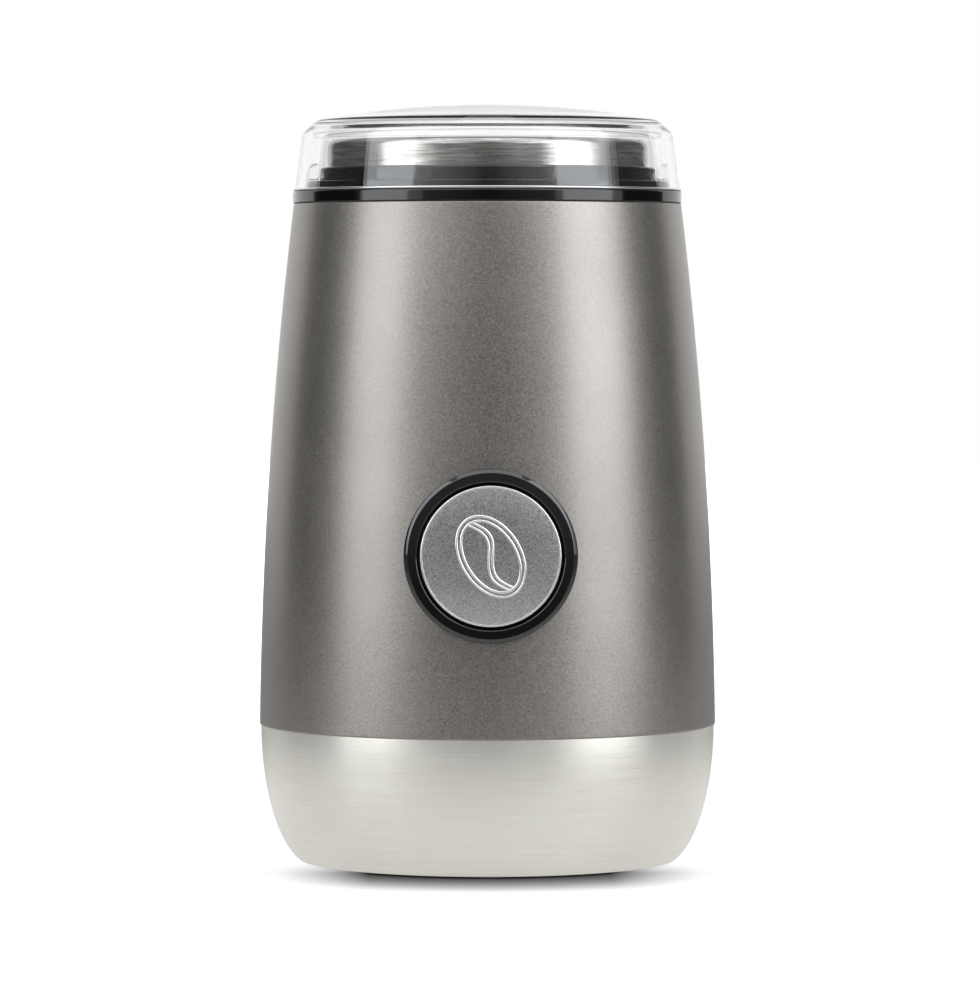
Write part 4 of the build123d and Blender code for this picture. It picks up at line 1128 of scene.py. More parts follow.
@dataclass
class SteelBowl(SubAssembly):
    """Deep stainless grinding bowl whose rim is rolled out and down over the collar."""

    radius: float = 31.6
    floor: float = 116.0
    rim: float = 158.3
    band: float = 35.1
    band_bottom: float = 149.5
    corner: float = 8.0
    sheet: float = 0.7
    hole: float = 5.2

    def build(self) -> None:
        """Turns the bowl in one piece."""
        outer = self.radius + self.sheet
        corners = [
            (self.hole, self.floor, 0.2), (self.radius, self.floor, self.corner),
            (self.radius, self.rim, 1.1), (self.band, self.rim, 1.9),
            (self.band, self.band_bottom, 0.25), (outer, self.band_bottom, 0.15),
            (outer, self.floor - self.sheet, self.corner + self.sheet),
            (self.hole, self.floor - self.sheet, 0.2),
        ]
        piece = turned("steel_bowl", Section(corners, 12).points(), segments=200, smooth_to=40.0)
        self.settle(piece, Finishes.BOWL, "steel_bowl", ["grinding_bowl"])


@dataclass
class ClearLid(SubAssembly):
    """Clear lid: leaning side, bevelled shoulder, low dome, a bright metal bead at the base as painted
    highlight, two lugs with fingers.
    """

    radius: float = 42.3
    base: float = 147.3
    shoulder_radius: float = 40.6
    shoulder: float = 160.0
    edge_radius: float = 37.3
    edge: float = 162.8
    dome: float = 3.4
    wall: float = 2.0
    roof: float = 1.3
    corner: float = 4.2
    bead: float = 0.27
    bead_rise: float = 0.2
    ceiling_share: float = 0.87
    lug_inner: float = 37.1
    lug_outer: float = 40.0
    lug_low: float = 149.5
    lug_high: float = 153.2
    lug_width: float = 4.4
    lug_round: float = 1.1
    lug_lean: float = 0.22
    finger_low: float = 146.2
    finger_outer: float = 40.1
    finger_round: float = 0.3
    overlap: float = 0.3

    def dome_line(self, steps: int) -> list[Point3]:
        """Returns the low dome's corners from near its edge to the axis.

        Args:
            steps: Steps along the dome.

        Returns:
            The corners.
        """
        ball = (self.edge_radius**2 + self.dome**2) / (2.0 * self.dome)
        corners = []
        for step in range(1, steps + 1):
            reach = self.edge_radius * (1.0 - step / steps)
            corners.append((reach, self.edge - (ball - self.dome) + math.sqrt(ball**2 - reach**2), 0.0))
        return corners

    def base_bead(self) -> bpy.types.Object:
        """Returns the bright metal bead along the lid's base, a painted highlight for light carried up the
        clear wall.
        """
        section = round_section(self.radius + 0.02, self.base + self.bead_rise, self.bead, 16)
        return turned("lid_base_bead", section, segments=224)

    def lugs(self) -> bpy.types.Object:
        """Returns the two lugs, each with the finger that goes through the collar.

        Returns:
            The piece.
        """
        work = bmesh.new()
        half, root = self.lug_width / 2.0 * MM, self.lug_low + self.overlap
        spans = (
            (self.lug_low, self.lug_high, self.lug_outer, self.lug_round),
            (self.finger_low, root, self.finger_outer, self.finger_round),
        )
        for side in (1.0, -1.0):
            for low, high, reach, edge in spans:
                ends = sorted((side * self.lug_inner * MM, side * reach * MM))
                block_into(work, (ends[0], -half, low * MM), (ends[1], half, high * MM), edge * MM)
        for vert in work.verts:
            vert.co.x += self.lug_lean * max(0.0, vert.co.z - root * MM)
        return finish_mesh("lid_lugs", work)

    def build(self) -> None:
        """Turns the lid and adds the lugs that find the collar's slots."""
        outer = [(self.radius, self.base, 0.3), (self.shoulder_radius, self.shoulder, 3.2)]
        dome = self.dome_line(26)
        top = [(self.edge_radius, self.edge, 0.9), *dome]
        under = []
        for reach, height, _ in reversed(dome):
            if reach < self.ceiling_share * self.edge_radius:
                under.append((reach, height - self.roof, 0.0))
        inner = [
            (self.shoulder_radius - self.wall, self.edge - self.roof - 0.3, self.corner),
            (self.radius - self.wall, self.base, 0.3),
        ]
        section = Section([*outer, *top, *under, *inner]).points()
        piece = turned("clear_lid", section, segments=224, smooth_to=40.0)
        self.settle(piece, Finishes.LID, "clear_lid", ["lid"])
        # The metal bead is a painted highlight for the bright line at the lid's base.
        self.settle(self.base_bead(), Finishes.LID_BASE_HIGHLIGHT, "clear_lid", ["lid"])
        self.settle(self.lugs(), Finishes.LID, "clear_lid", ["lid"])


@dataclass
class GrindingBlade(SubAssembly):
    """Two-winged blade on its moulded hub, held by a domed nut."""

    hub_low: float = 116.3
    blade_low: float = 120.7
    thickness: float = 1.3
    half_span: float = 28.5
    half_width: float = 5.0
    tip_width: float = 6.0
    flat: float = 9.0
    rise: float = 5.0
    ease: float = 0.06
    grind_rate: float = 6.0
    bevel: Point2 = (2.3, 1.0)
    chamfer: Point2 = (0.12, 0.08)
    nut_width: float = 9.0
    nut_height: float = 3.4
    nut_facets: int = 72

    def station(self, x: float) -> list[Point3]:
        """Returns the blade's cross-section at a distance from its middle.

        Args:
            x: Distance along the blade in millimetres.

        Returns:
            Six points in metres.
        """
        reach = max(0.0, abs(x) - self.flat) / (self.half_span - self.flat)
        bend = reach**2 / (reach + self.ease) * (1.0 + self.ease)
        low = self.blade_low + self.rise * bend
        high = low + self.thickness
        near, far = -self.half_width, self.half_width - (2.0 * self.half_width - self.tip_width) * reach
        ground = min(1.0, reach * self.grind_rate)
        cut_near = self.chamfer
        cut_far = (self.bevel[0] * ground + cut_near[0], self.bevel[1] * ground + cut_near[1])
        if x < 0.0:
            near, far, cut_near, cut_far = -far, -near, cut_far, cut_near
        points = [
            (near, low), (far, low), (far, high - cut_far[1]), (far - cut_far[0], high),
            (near + cut_near[0], high), (near, high - cut_near[1]),
        ]
        return [(x * MM, y * MM, z * MM) for y, z in points]

    def blade(self) -> bpy.types.Object:
        """Returns the blade: pressed wings with ground leading edges.

        Returns:
            The piece.
        """
        work = bmesh.new()
        steps = 76
        rings = []
        for step in range(steps + 1):
            x = -self.half_span + 2.0 * self.half_span * step / steps
            rings.append([work.verts.new(point) for point in self.station(x)])
        skin_into(work, rings)
        return finish_mesh("blade_wings", work, 24.0)

    def nut(self) -> bpy.types.Object:
        """Returns the nut: six flats, chamfered corners and a low dome.

        Returns:
            The piece.
        """
        work = bmesh.new()
        base = self.blade_low + self.thickness
        top, flat, facets = base + self.nut_height, self.nut_width / 2.0, self.nut_facets
        levels = [
            (base, 0.97, 0.4), (base + 0.35, 1.0, 0.0), (top - 0.9, 1.0, 0.0), (top - 0.3, 0.98, 0.45),
            (top, 0.95, 1.0), (top + 0.45, 0.84, 1.0), (top + 0.9, 0.6, 1.0), (top + 1.15, 0.3, 1.0),
        ]
        rings = []
        for height, size, roundness in levels:
            ring = []
            for step in range(facets):
                angle = FULL_TURN * step / facets
                within = (angle + math.pi / 6.0) % (math.pi / 3.0) - math.pi / 6.0
                hexagon = min(flat / math.cos(within), flat * 1.13)
                reach = (hexagon * (1.0 - roundness) + flat * roundness) * size * MM
                spot = (reach * math.cos(angle), reach * math.sin(angle), height * MM)
                ring.append(work.verts.new(spot))
            rings.append(ring)
        skin_into(work, rings, ends=False)
        work.faces.new(rings[0])
        crown = work.verts.new((0.0, 0.0, (top + 1.2) * MM))
        for index in range(facets):
            work.faces.new((rings[-1][index], rings[-1][(index + 1) % facets], crown))
        return finish_mesh("blade_nut_domed", work, 30.0)

    def build(self) -> None:
        """Makes hub, blade and nut, and dresses the shaft below them."""
        self.settle(self.blade(), Finishes.BLADE, "steel_blade", ["grinding_blade"])
        self.settle(self.nut(), Finishes.BLADE, "steel_blade", ["blade_nut"])
        top = self.blade_low
        hub = [
            (3.05, self.hub_low, 0.1), (7.0, self.hub_low, 0.4), (6.9, self.hub_low + 0.9, 0.2),
            (6.0, top - 0.6, 0.3), (6.0, top, 0.2), (3.05, top, 0.1),
        ]
        piece = turned("blade_hub_moulded", Section(hub).points(), segments=96)
        self.settle(piece, Finishes.HUB, "plastic_hub", ["blade_hub"])
        self.keep("motor_shaft", Finishes.SHAFT)


@dataclass
class ButtonBezel(SubAssembly):
    """Glossy black ring round the button, seated on the shell and tubed through it."""

    height: float = 69.3
    front: float = 50.9
    outer: float = 18.45
    tube: float = 17.0
    bore: float = 15.4
    guide_back: float = 42.81
    guide_front: float = 44.01
    saddle: float = 46.6

    def build(self) -> None:
        """Turns the ring with a flat face, a rounded nose and a sloping inner lip."""
        corners = [
            (self.bore, self.guide_front, 0.1), (self.bore, self.front - 0.7, 0.3),
            (self.bore + 0.4, self.front - 0.05, 0.3), (self.outer - 0.8, self.front, 0.4),
            (self.outer, self.front - 0.7, 0.5), (self.outer, self.saddle, 0.1),
            (self.tube, self.saddle, 0.1), (self.tube, self.guide_back, 0.2),
            (2.2, self.guide_back, 0.1), (2.2, self.guide_front, 0.1),
        ]
        piece = turned("gloss_bezel", Section(corners, 7).points(), Spin.FORWARD, self.height, 192)
        self.settle(piece, Finishes.BEZEL, "gloss_bezel", ["button_bezel"])


@dataclass
class PushButton(SubAssembly):
    """Domed silver button with a polished edge and a bean outline in fine double lines."""

    height: float = 69.3
    edge: float = 50.7
    radius: float = 15.0
    dome: float = 1.0
    fall: float = 2.5
    chamfer: float = 0.4
    bead: float = 0.33
    wall: float = 1.6
    depth: float = 3.8
    bean_length: float = 18.6
    bean_width: float = 12.6
    bean_lean: float = 32.0
    line: float = 0.3
    line_flat: float = 0.8
    line_gap: float = 1.0
    crease_swing: float = 1.75
    crease_short: float = 0.15
    crease_share: float = 0.985
    segments: int = 176

    def face(self, reach: float) -> float:
        """Returns how far the face stands from the axis at a radius on it, in millimetres."""
        rim = self.radius - self.chamfer
        return self.edge + self.dome * (1.0 - min(1.0, reach / rim) ** self.fall)

    def cap(self) -> bpy.types.Object:
        """Returns the cap: face, bright bevel, skirt and hollow back.

        Returns:
            The piece.
        """
        steps = 22
        rim, bore = self.radius - self.chamfer, self.radius - self.wall
        face = []
        for step in range(1, steps + 1):
            reach = rim * (1.0 - step / steps)
            face.append((reach, self.face(reach), 0.0))
        back = self.edge + self.dome / 2.0 - self.wall
        corners = [
            (bore, self.edge - self.depth, 0.2), (self.radius, self.edge - self.depth, 0.2),
            (self.radius, self.edge - self.chamfer, 0.25), (rim, self.edge, 0.2), *face,
            (0.0, back, 0.0), (bore, back, 0.4),
        ]
        section = Section(corners, 6).points()
        return turned("button_face", section, Spin.FORWARD, self.height, self.segments, 38.0)

    def edge_bead(self) -> bpy.types.Object:
        """Returns the polished bead along the cap's edge."""
        section = round_section(self.radius - self.bead, self.edge - self.bead + 0.06, self.bead, 20)
        return turned("button_edge", section, Spin.FORWARD, self.height, self.segments)

    def on_face(self, x: float, z: float) -> Point3:
        """Returns a place on the face, in metres.

        Args:
            x: Distance to the right of the centre in millimetres.
            z: Distance above the centre.

        Returns:
            The point in the row frame.
        """
        lean = math.radians(self.bean_lean)
        right = x * math.cos(lean) - z * math.sin(lean)
        up = x * math.sin(lean) + z * math.cos(lean)
        stand = self.face(math.hypot(right, up))
        return right * MM, -stand * MM, (self.height + up) * MM

    def outline(self, inset: float) -> list[Point2]:
        """Returns the bean's outer line, set in by a distance.

        Args:
            inset: Distance in millimetres.

        Returns:
            Points on the face.
        """
        steps = 96
        wide, tall = self.bean_width / 2.0 - inset, self.bean_length / 2.0 - inset
        angles = [FULL_TURN * step / steps for step in range(steps)]
        return [(wide * math.cos(angle), tall * math.sin(angle)) for angle in angles]

    def crease(self, shift: float) -> list[Point2]:
        """Returns the bean's curved crease, moved sideways by a distance.

        Args:
            shift: Distance in millimetres.

        Returns:
            Points on the face.
        """
        steps = 48
        reach = (self.bean_length / 2.0 - self.line_gap - self.crease_short) * self.crease_share
        parts = [-1.0 + 2.0 * step / steps for step in range(steps + 1)]
        return [(self.crease_swing * math.sin(part * math.pi) + shift, part * reach) for part in parts]

    def wire(self, name: str, paths: Sequence[tuple[Sequence[Point2], bool]]) -> bpy.types.Object:
        """Returns fine raised lines on the face, as one mesh.

        Args:
            name: Name of the piece.
            paths: Lines on the face, each with whether it is closed.

        Returns:
            The piece.
        """
        work = bmesh.new()
        sides = 8
        inward = Vector((0.0, 1.0, 0.0))
        for path, closed in paths:
            spots = [Vector(self.on_face(x, z)) for x, z in path]
            rings = []
            for index, spot in enumerate(spots):
                before = spots[index - 1] if index or closed else spot
                after = spots[(index + 1) % len(spots)] if index < len(spots) - 1 or closed else spot
                along = (after - before).normalized()
                across = along.cross(inward).normalized()
                ring = []
                for side in range(sides):
                    angle = FULL_TURN * side / sides
                    step = across * math.cos(angle) * self.line * MM
                    step += inward * math.sin(angle) * self.line * self.line_flat * MM
                    ring.append(work.verts.new(spot + step))
                rings.append(ring)
            skin_into(work, rings, looped=closed)
        return finish_mesh(name, work, 60.0)

    def build(self) -> None:
        """Makes the cap and its relief, and dresses the stem behind it."""
        self.settle(self.cap(), Finishes.CAP, "cap_grey", ["button_cap"])
        gap = self.line_gap
        lines = [
            (self.outline(0.0), True), (self.outline(gap), True),
            (self.crease(-gap / 2.0), False), (self.crease(gap / 2.0), False),
        ]
        self.settle(self.wire("bean_relief", lines), Finishes.RELIEF, "cap_grey")
        self.settle(self.edge_bead(), Finishes.EDGE, "cap_grey")
        self.keep("button_stem", Finishes.NATURAL)


@dataclass
class ReturnSpring(SubAssembly):
    """Coil spring behind the cap, which shortens as the button goes in."""

    height: float = 69.3
    seat: float = 44.007
    front: float = 49.531
    radius: float = 6.24
    wire: float = 0.3
    gap: float = 0.1
    turns: float = 4.0
    travel: float = 2.0

    def coil(self) -> bpy.types.Object:
        """Returns the spring: round wire between its two seats.

        Returns:
            The piece.
        """
        work = bmesh.new()
        steps, sides = 160, 10
        wound = FULL_TURN * self.turns
        low = self.seat + self.gap + self.wire
        rise = self.front - self.gap - self.wire - low
        rings = []
        for step in range(steps + 1):
            angle = wound * step / steps
            outward = Vector((math.cos(angle), 0.0, math.sin(angle)))
            along = Vector((-math.sin(angle), 0.0, math.cos(angle)))
            along.y = -rise / (wound * self.radius)
            across = outward.cross(along.normalized())
            middle = outward * self.radius + Vector((0.0, -low - rise * step / steps, self.height))
            ring = []
            for side in range(sides):
                turn = FULL_TURN * side / sides
                spot = middle + (outward * math.cos(turn) + across * math.sin(turn)) * self.wire
                ring.append(work.verts.new(spot * MM))
            rings.append(ring)
        skin_into(work, rings)
        return finish_mesh("return_spring", work, 60.0)

    def build(self) -> None:
        """Makes the spring and gives it a mesh of its own."""
        spring = self.settle(self.coil(), Finishes.SPRINGS, "steel_spring", ["button_spring"])
        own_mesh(spring)


@dataclass
class Underside(SubAssembly):
    """What the grinder stands on and what shows from below."""

    foot_spot: float = 20.506
    foot_radius: float = 4.5
    foot_height: float = 1.4
    screw_circle: float = 36.168
    screw_head: float = 2.7
    head_low: float = 0.45
    head_facets: int = 36
    recess_arm: float = 1.45
    recess_half_width: float = 0.36
    recess_depth: float = 0.75
    thread_end: float = 8.3
    thread_radius: float = 1.38
    core_radius: float = 1.05
    thread_pitch: float = 0.9
    thread_turns: int = 7

    def feet(self) -> bpy.types.Object:
        """Returns four rubber feet with a rounded edge and a sunk middle.

        Returns:
            The piece.
        """
        work = bmesh.new()
        corners = [
            (0.0, self.foot_height, 0.0), (0.0, 0.35, 0.0), (2.2, 0.35, 0.2), (2.7, 0.0, 0.2),
            (self.foot_radius, 0.0, 0.35), (self.foot_radius, self.foot_height, 0.05),
        ]
        for x in (-1.0, 1.0):
            for y in (-1.0, 1.0):
                centre = (x * self.foot_spot * MM, y * self.foot_spot * MM, 0.0)
                turn_into(work, Section(corners).points(), Spin.UPRIGHT, centre, 56)
        return finish_mesh("feet_moulded", work)

    def heads(self) -> bpy.types.Object:
        """Returns four screws whose pan heads have a cross recess.

        Returns:
            The piece.
        """
        work = bmesh.new()
        arm, slot, facets = self.recess_arm, self.recess_half_width, self.head_facets
        cross = [
            (arm, -slot), (arm, slot), (slot, slot), (slot, arm), (-slot, arm), (-slot, slot),
            (-arm, slot), (-arm, -slot), (-slot, -slot), (-slot, -arm), (slot, -arm), (slot, -slot),
        ]
        corners = len(cross)
        low, high = self.head_low, self.foot_height
        wall = [(self.screw_head, high), (self.screw_head, low + 0.45), (self.screw_head - 0.45, low + 0.08)]
        thread = [(0.0, self.thread_end, 0.0), (0.0, high, 0.0), (self.thread_radius, high, 0.0)]
        for turn_count in range(self.thread_turns):
            height = high + 0.5 + turn_count * self.thread_pitch
            thread += [
                (self.thread_radius, height, 0.0),
                (self.core_radius, height + self.thread_pitch / 2.0, 0.0),
            ]
        shank = Section([*thread, (1.0, self.thread_end, 0.0)]).points()
        for quarter in range(4):
            angle = math.pi / 2.0 * quarter
            centre = Vector((math.cos(angle), math.sin(angle), 0.0)) * self.screw_circle * MM
            rings = []
            for radius, height in wall:
                ring = []
                for step in range(facets):
                    turn = FULL_TURN * step / facets
                    spot = Vector((radius * math.cos(turn), radius * math.sin(turn), height)) * MM
                    ring.append(work.verts.new(centre + spot))
                rings.append(ring)
            skin_into(work, rings, ends=False)
            work.faces.new(rings[0])
            rim = [work.verts.new(centre + Vector((x, y, low)) * MM) for x, y in cross]
            deep = low + self.recess_depth
            pit = [work.verts.new(centre + Vector((x * 0.6, y * 0.8, deep)) * MM) for x, y in cross]
            edges = [work.edges.new((rim[i], rim[(i + 1) % corners])) for i in range(corners)]
            outer = [work.edges.get((rings[-1][i], rings[-1][(i + 1) % facets])) for i in range(facets)]
            bmesh.ops.triangle_fill(work, use_beauty=True, use_dissolve=False, edges=[*edges, *outer])
            skin_into(work, [rim, pit], ends=False)
            work.faces.new(pit)
            turn_into(work, shank, Spin.UPRIGHT, (centre.x, centre.y, 0.0), 24)
        return finish_mesh("screws_crossed", work, 30.0)

    def build(self) -> None:
        """Makes feet and screws, and dresses the vented cover."""
        self.settle(self.feet(), Finishes.RUBBER, "rubber_black", ["rubber_feet"])
        self.settle(self.heads(), Finishes.SCREWS, "steel_screws", ["cover_screws"])
        self.keep("bottom_cover", Finishes.COVER)


@dataclass
class CordGland(SubAssembly):
    """Rubber gland in the back of the shell, where the cord would enter."""

    height: float = 42.0
    start: float = 45.34
    end: float = 51.83
    flange_radius: float = 6.5
    neck_radius: float = 4.8
    bore: float = 3.2
    flange: float = 1.8

    def build(self) -> None:
        """Turns the gland with soft lips and a flared mouth."""
        lip, foot = -self.end, -self.start
        neck_front, neck_back = lip + self.flange, foot - self.flange
        corners = [
            (self.bore, foot, 0.3), (self.bore, lip + 0.5, 0.3), (self.bore + 0.55, lip, 0.3),
            (self.flange_radius - 0.5, lip, 0.6), (self.flange_radius, neck_front, 0.3),
            (self.neck_radius, neck_front, 0.1), (self.neck_radius, neck_back, 0.1),
            (self.flange_radius, neck_back, 0.3), (self.flange_radius, foot, 0.4),
        ]
        piece = turned("gland_moulded", Section(corners).points(), Spin.FORWARD, self.height, 96)
        self.settle(piece, Finishes.RUBBER, "rubber_black", ["cord_gland"])


@dataclass
class InnerWorks(SubAssembly):
    """Everything behind the shell: its solids stay and get their own finishes."""

    def dressing(self) -> dict[str, Finish]:
        """Returns the finish of each hidden node.

        Returns:
            Finishes by the nodes' names.
        """
        return {
            "inner_frame": Finishes.INNER, "cord_clamp": Finishes.INNER, "brush_plate": Finishes.INNER,
            "shaft_seal": Finishes.RUBBER, "motor_dampers": Finishes.RUBBER,
            "clamp_screws": Finishes.SCREWS, "through_bolts": Finishes.SCREWS,
            "interlock_spring": Finishes.SPRINGS, "brush_springs": Finishes.SPRINGS,
            "lid_switch_lever": Finishes.SPRINGS,
            "start_switch": Finishes.SWITCH, "lid_switch": Finishes.SWITCH,
            "switch_plunger": Finishes.NATURAL, "interlock_rod": Finishes.NATURAL,
            "upper_bracket": Finishes.ALLOY, "lower_bracket": Finishes.ALLOY,
            "upper_bush": Finishes.BRONZE, "lower_bush": Finishes.BRONZE,
            "stator_core": Finishes.CORE, "armature_core": Finishes.CORE,
            "field_coils": Finishes.WIRE, "armature_windings": Finishes.WIRE,
            "commutator": Finishes.COPPER, "brush_holders": Finishes.BRASS,
            "carbon_brushes": Finishes.CARBON, "circuit_board": Finishes.BOARD,
            "suppression_capacitor": Finishes.CAPACITOR, "terminal_block": Finishes.TERMINAL,
            "cooling_fan": Finishes.FAN,
        }

    def build(self) -> None:
        """Dresses each hidden node."""
        for node, finish in self.dressing().items():
            self.keep(node, finish)


# Studio


@dataclass(frozen=True)
class Softbox:
    """A broad lamp, aimed at the grinder."""

    name: str
    bearing: float
    distance: float
    height: float
    width: float
    tall: float
    power: float
    colour: Colour = (0.945, 0.993, 1.04)

    def hang(self, aim: Vector) -> None:
        """Puts the lamp in the scene.

        Args:
            aim: Point that it faces.
        """
        lamp = bpy.data.lights.new(self.name, "AREA")
        lamp.shape = "RECTANGLE"
        lamp.size, lamp.size_y = self.width, self.tall
        lamp.energy = self.power
        lamp.color = self.colour
        box = bpy.data.objects.new(self.name, lamp)
        angle = math.radians(self.bearing)
        box.location = (self.distance * math.sin(angle), -self.distance * math.cos(angle), self.height)
        box.rotation_euler = (aim - box.location).to_track_quat("-Z", "Y").to_euler()
        box.visible_camera = False
        bpy.context.scene.collection.objects.link(box)


@dataclass(frozen=True)
class Card:
    """A grey card beside the grinder that only its gloss sees."""

    name: str
    bearing: float
    distance: float
    height: float
    width: float
    tall: float
    low_tone: float
    high_tone: float
    side_rise: float = 1.0
    under_lid: bool = False
    rise_span: Point2 = (0.36, 0.95)
    side_span: Point2 = (0.1, 1.05)
    lid_walls: float = 3.5
    panes: int = 24

    def glow(self, web: Web) -> Socket:
        """Returns the card's tone: it rises with height and towards its sides.

        Args:
            web: The card's nodes.

        Returns:
            The strength of its glow.
        """
        parts = web.node("ShaderNodeSeparateXYZ")
        web.put(parts, 0, web.place)
        rise = web.spread(parts.outputs[2], self.low_tone, self.high_tone, *self.rise_span)
        aside = web.maths("ABSOLUTE", parts.outputs[0])
        return web.maths("MULTIPLY", rise, web.spread(aside, 1.0, self.side_rise, *self.side_span))

    def through_lid(self, web: Web, surface: Socket) -> Socket:
        """Returns the card's surface, kept for what is mirrored under the clear lid.

        Args:
            web: The card's nodes.
            surface: The glowing surface.

        Returns:
            The surface to use.
        """
        path = web.node("ShaderNodeLightPath")
        deep = web.maths("GREATER_THAN", path.outputs["Transmission Depth"], self.lid_walls)
        mirrored = web.maths("MINIMUM", path.outputs["Glossy Depth"], 1.0)
        either = web.node("ShaderNodeMixShader")
        web.put(either, 0, web.maths("MULTIPLY", deep, mirrored))
        web.put(either, 1, web.node("ShaderNodeBsdfTransparent").outputs[0])
        web.put(either, 2, surface)
        return either.outputs[0]

    def stand(self) -> None:
        """Puts the card in the scene, hidden from the camera and from diffuse rays."""
        work = bmesh.new()
        half, reach = math.radians(self.width / 2.0), self.distance
        start = math.radians(self.bearing) - half
        low, high = self.height - self.tall / 2.0, self.height + self.tall / 2.0
        for step in range(self.panes):
            angles = [start + 2.0 * half * (step + side) / self.panes for side in (0, 1)]
            spots = [(reach * math.sin(a), -reach * math.cos(a)) for a in angles]
            corners = [(*spots[0], low), (*spots[1], low), (*spots[1], high), (*spots[0], high)]
            work.faces.new([work.verts.new(corner) for corner in corners])
        card = finish_mesh(self.name, work)
        web = Web(self.name)
        glow = web.node("ShaderNodeEmission")
        web.put(glow, "Strength", self.glow(web))
        surface = self.through_lid(web, glow.outputs[0]) if self.under_lid else glow.outputs[0]
        web.put(web.tree.nodes["Material Output"], 0, surface)
        card.data.materials.append(web.material)
        card.visible_camera = False
        card.visible_diffuse = False


@dataclass
class Studio:
    """Pale floor, white surround, soft lamps and the camera of a catalogue picture."""

    aim: Point3 = (0.00055, 0.0, 0.08153)
    eye: Point3 = (-0.01734, -1.2475, 0.124)
    lens: float = 208.2
    floor_size: float = 6.0
    tone: float = 0.13
    near_glow: float = 1.0
    mirror_glow: float = 0.57
    mirror_far: float = 0.13
    mirror_side: float = 1.3
    far_glow: float = 0.5
    ceiling: float = 0.5
    surround_low: float = 0.3
    shadow_size: float = 0.034
    shadow_ends: Point2 = (0.4, 0.9)
    shadow_power: float = 2.4
    shadow_back: Point2 = (-0.028, -0.006)
    shadow_aside: Point2 = (0.026, 0.046)
    shadow_reach: Point2 = (0.1, 0.16)
    mirror_reach: Point2 = (0.09, 0.4)
    mirror_back: Point2 = (-0.04, 0.1)
    far_reach: Point2 = (0.35, 0.9)
    ceiling_span: Point2 = (0.25, 0.6)

    def unshaded(self, web: Web, reach: Socket, back: Socket, aside: Socket) -> Socket:
        """Returns how much of the floor's glow is left in the soft shadow under the steel ring.

        Args:
            web: The floor's nodes.
            reach: Distance from the grinder's axis.
            back: Distance behind the axis.
            aside: Distance to either side of it.

        Returns:
            1 in the open, and near 0 under the front edge.
        """
        crease = web.node("ShaderNodeAmbientOcclusion", samples=12)
        web.put(crease, "Distance", self.shadow_size)
        clear = web.spread(crease.outputs["AO"], 0.0, 1.0, *self.shadow_ends)
        shadow = web.maths("SUBTRACT", 1.0, web.maths("POWER", clear, self.shadow_power))
        shadow = web.maths("MULTIPLY", shadow, web.spread(back, 1.0, 0.1, *self.shadow_back))
        shadow = web.maths("MULTIPLY", shadow, web.spread(aside, 1.0, 0.2, *self.shadow_aside))
        shadow = web.maths("MULTIPLY", shadow, web.spread(reach, 1.0, 0.0, *self.shadow_reach))
        return web.maths("SUBTRACT", 1.0, shadow)

    def floor_glow(self, web: Web) -> Socket:
        """Returns how white the floor shows to the camera, and how bright it is mirrored.

        Args:
            web: The floor's nodes.

        Returns:
            The strength of its glow.
        """
        path = web.node("ShaderNodeLightPath")
        direct = path.outputs["Is Camera Ray"]
        away = web.node("ShaderNodeVectorMath", operation="LENGTH")
        web.put(away, 0, web.place)
        reach = away.outputs["Value"]
        parts = web.node("ShaderNodeSeparateXYZ")
        web.put(parts, 0, web.place)
        back = parts.outputs[1]
        aside = web.maths("ABSOLUTE", parts.outputs[0])
        mirror = web.spread(reach, self.mirror_glow, self.mirror_far, *self.mirror_reach)
        mirror = web.maths("MULTIPLY", mirror, web.spread(back, 1.0, self.mirror_side, *self.mirror_back))
        mirrored = web.maths("MULTIPLY", path.outputs["Is Glossy Ray"], mirror)
        far = web.maths("MULTIPLY", web.spread(reach, 0.0, self.far_glow, *self.far_reach), direct)
        seen = web.maths("MAXIMUM", direct, path.outputs["Is Transmission Ray"])
        seen = web.maths("ADD", web.maths("MULTIPLY", seen, self.near_glow), far)
        seen = web.maths("MULTIPLY", seen, self.unshaded(web, reach, back, aside))
        return web.maths("MAXIMUM", seen, mirrored)

    def floor(self) -> None:
        """Lays a pale floor that keeps the soft shadow and isn't seen from below."""
        work = bmesh.new()
        half = self.floor_size / 2.0
        corners = [(-half, -half), (half, -half), (half, half), (-half, half)]
        work.faces.new([work.verts.new((x, y, 0.0)) for x, y in corners])
        ground = finish_mesh("studio_floor", work)
        web = Web("floor_pale")
        web.fix(Base_Color=(self.tone, self.tone, self.tone, 1.0), Roughness=0.9, Specular_IOR_Level=0.1)
        glow = web.node("ShaderNodeEmission")
        web.put(glow, "Strength", self.floor_glow(web))
        both = web.node("ShaderNodeAddShader")
        web.put(both, 0, web.shader.outputs[0])
        web.put(both, 1, glow.outputs[0])
        sides = web.node("ShaderNodeMixShader")
        web.put(sides, 0, web.node("ShaderNodeNewGeometry").outputs["Backfacing"])
        web.put(sides, 1, both.outputs[0])
        web.put(sides, 2, web.node("ShaderNodeBsdfTransparent").outputs[0])
        web.put(web.tree.nodes["Material Output"], 0, sides.outputs[0])
        ground.data.materials.append(web.material)

    def surround(self) -> None:
        """Makes the world white where it is seen and plain grey as light."""
        world = bpy.data.worlds.new("studio_surround")
        world.use_nodes = True
        tree = world.node_tree
        sky = tree.nodes["Background"]
        sky.inputs["Color"].default_value = (1.0, 1.0, 1.0, 1.0)
        path = tree.nodes.new("ShaderNodeLightPath")

        def higher(first: Socket, second: Socket) -> Socket:
            """Returns the higher of two outputs.

            Args:
                first: One output.
                second: The other.

            Returns:
                The result's output.
            """
            most = tree.nodes.new("ShaderNodeMath")
            most.operation = "MAXIMUM"
            tree.links.new(first, most.inputs[0])
            tree.links.new(second, most.inputs[1])
            return most.outputs[0]

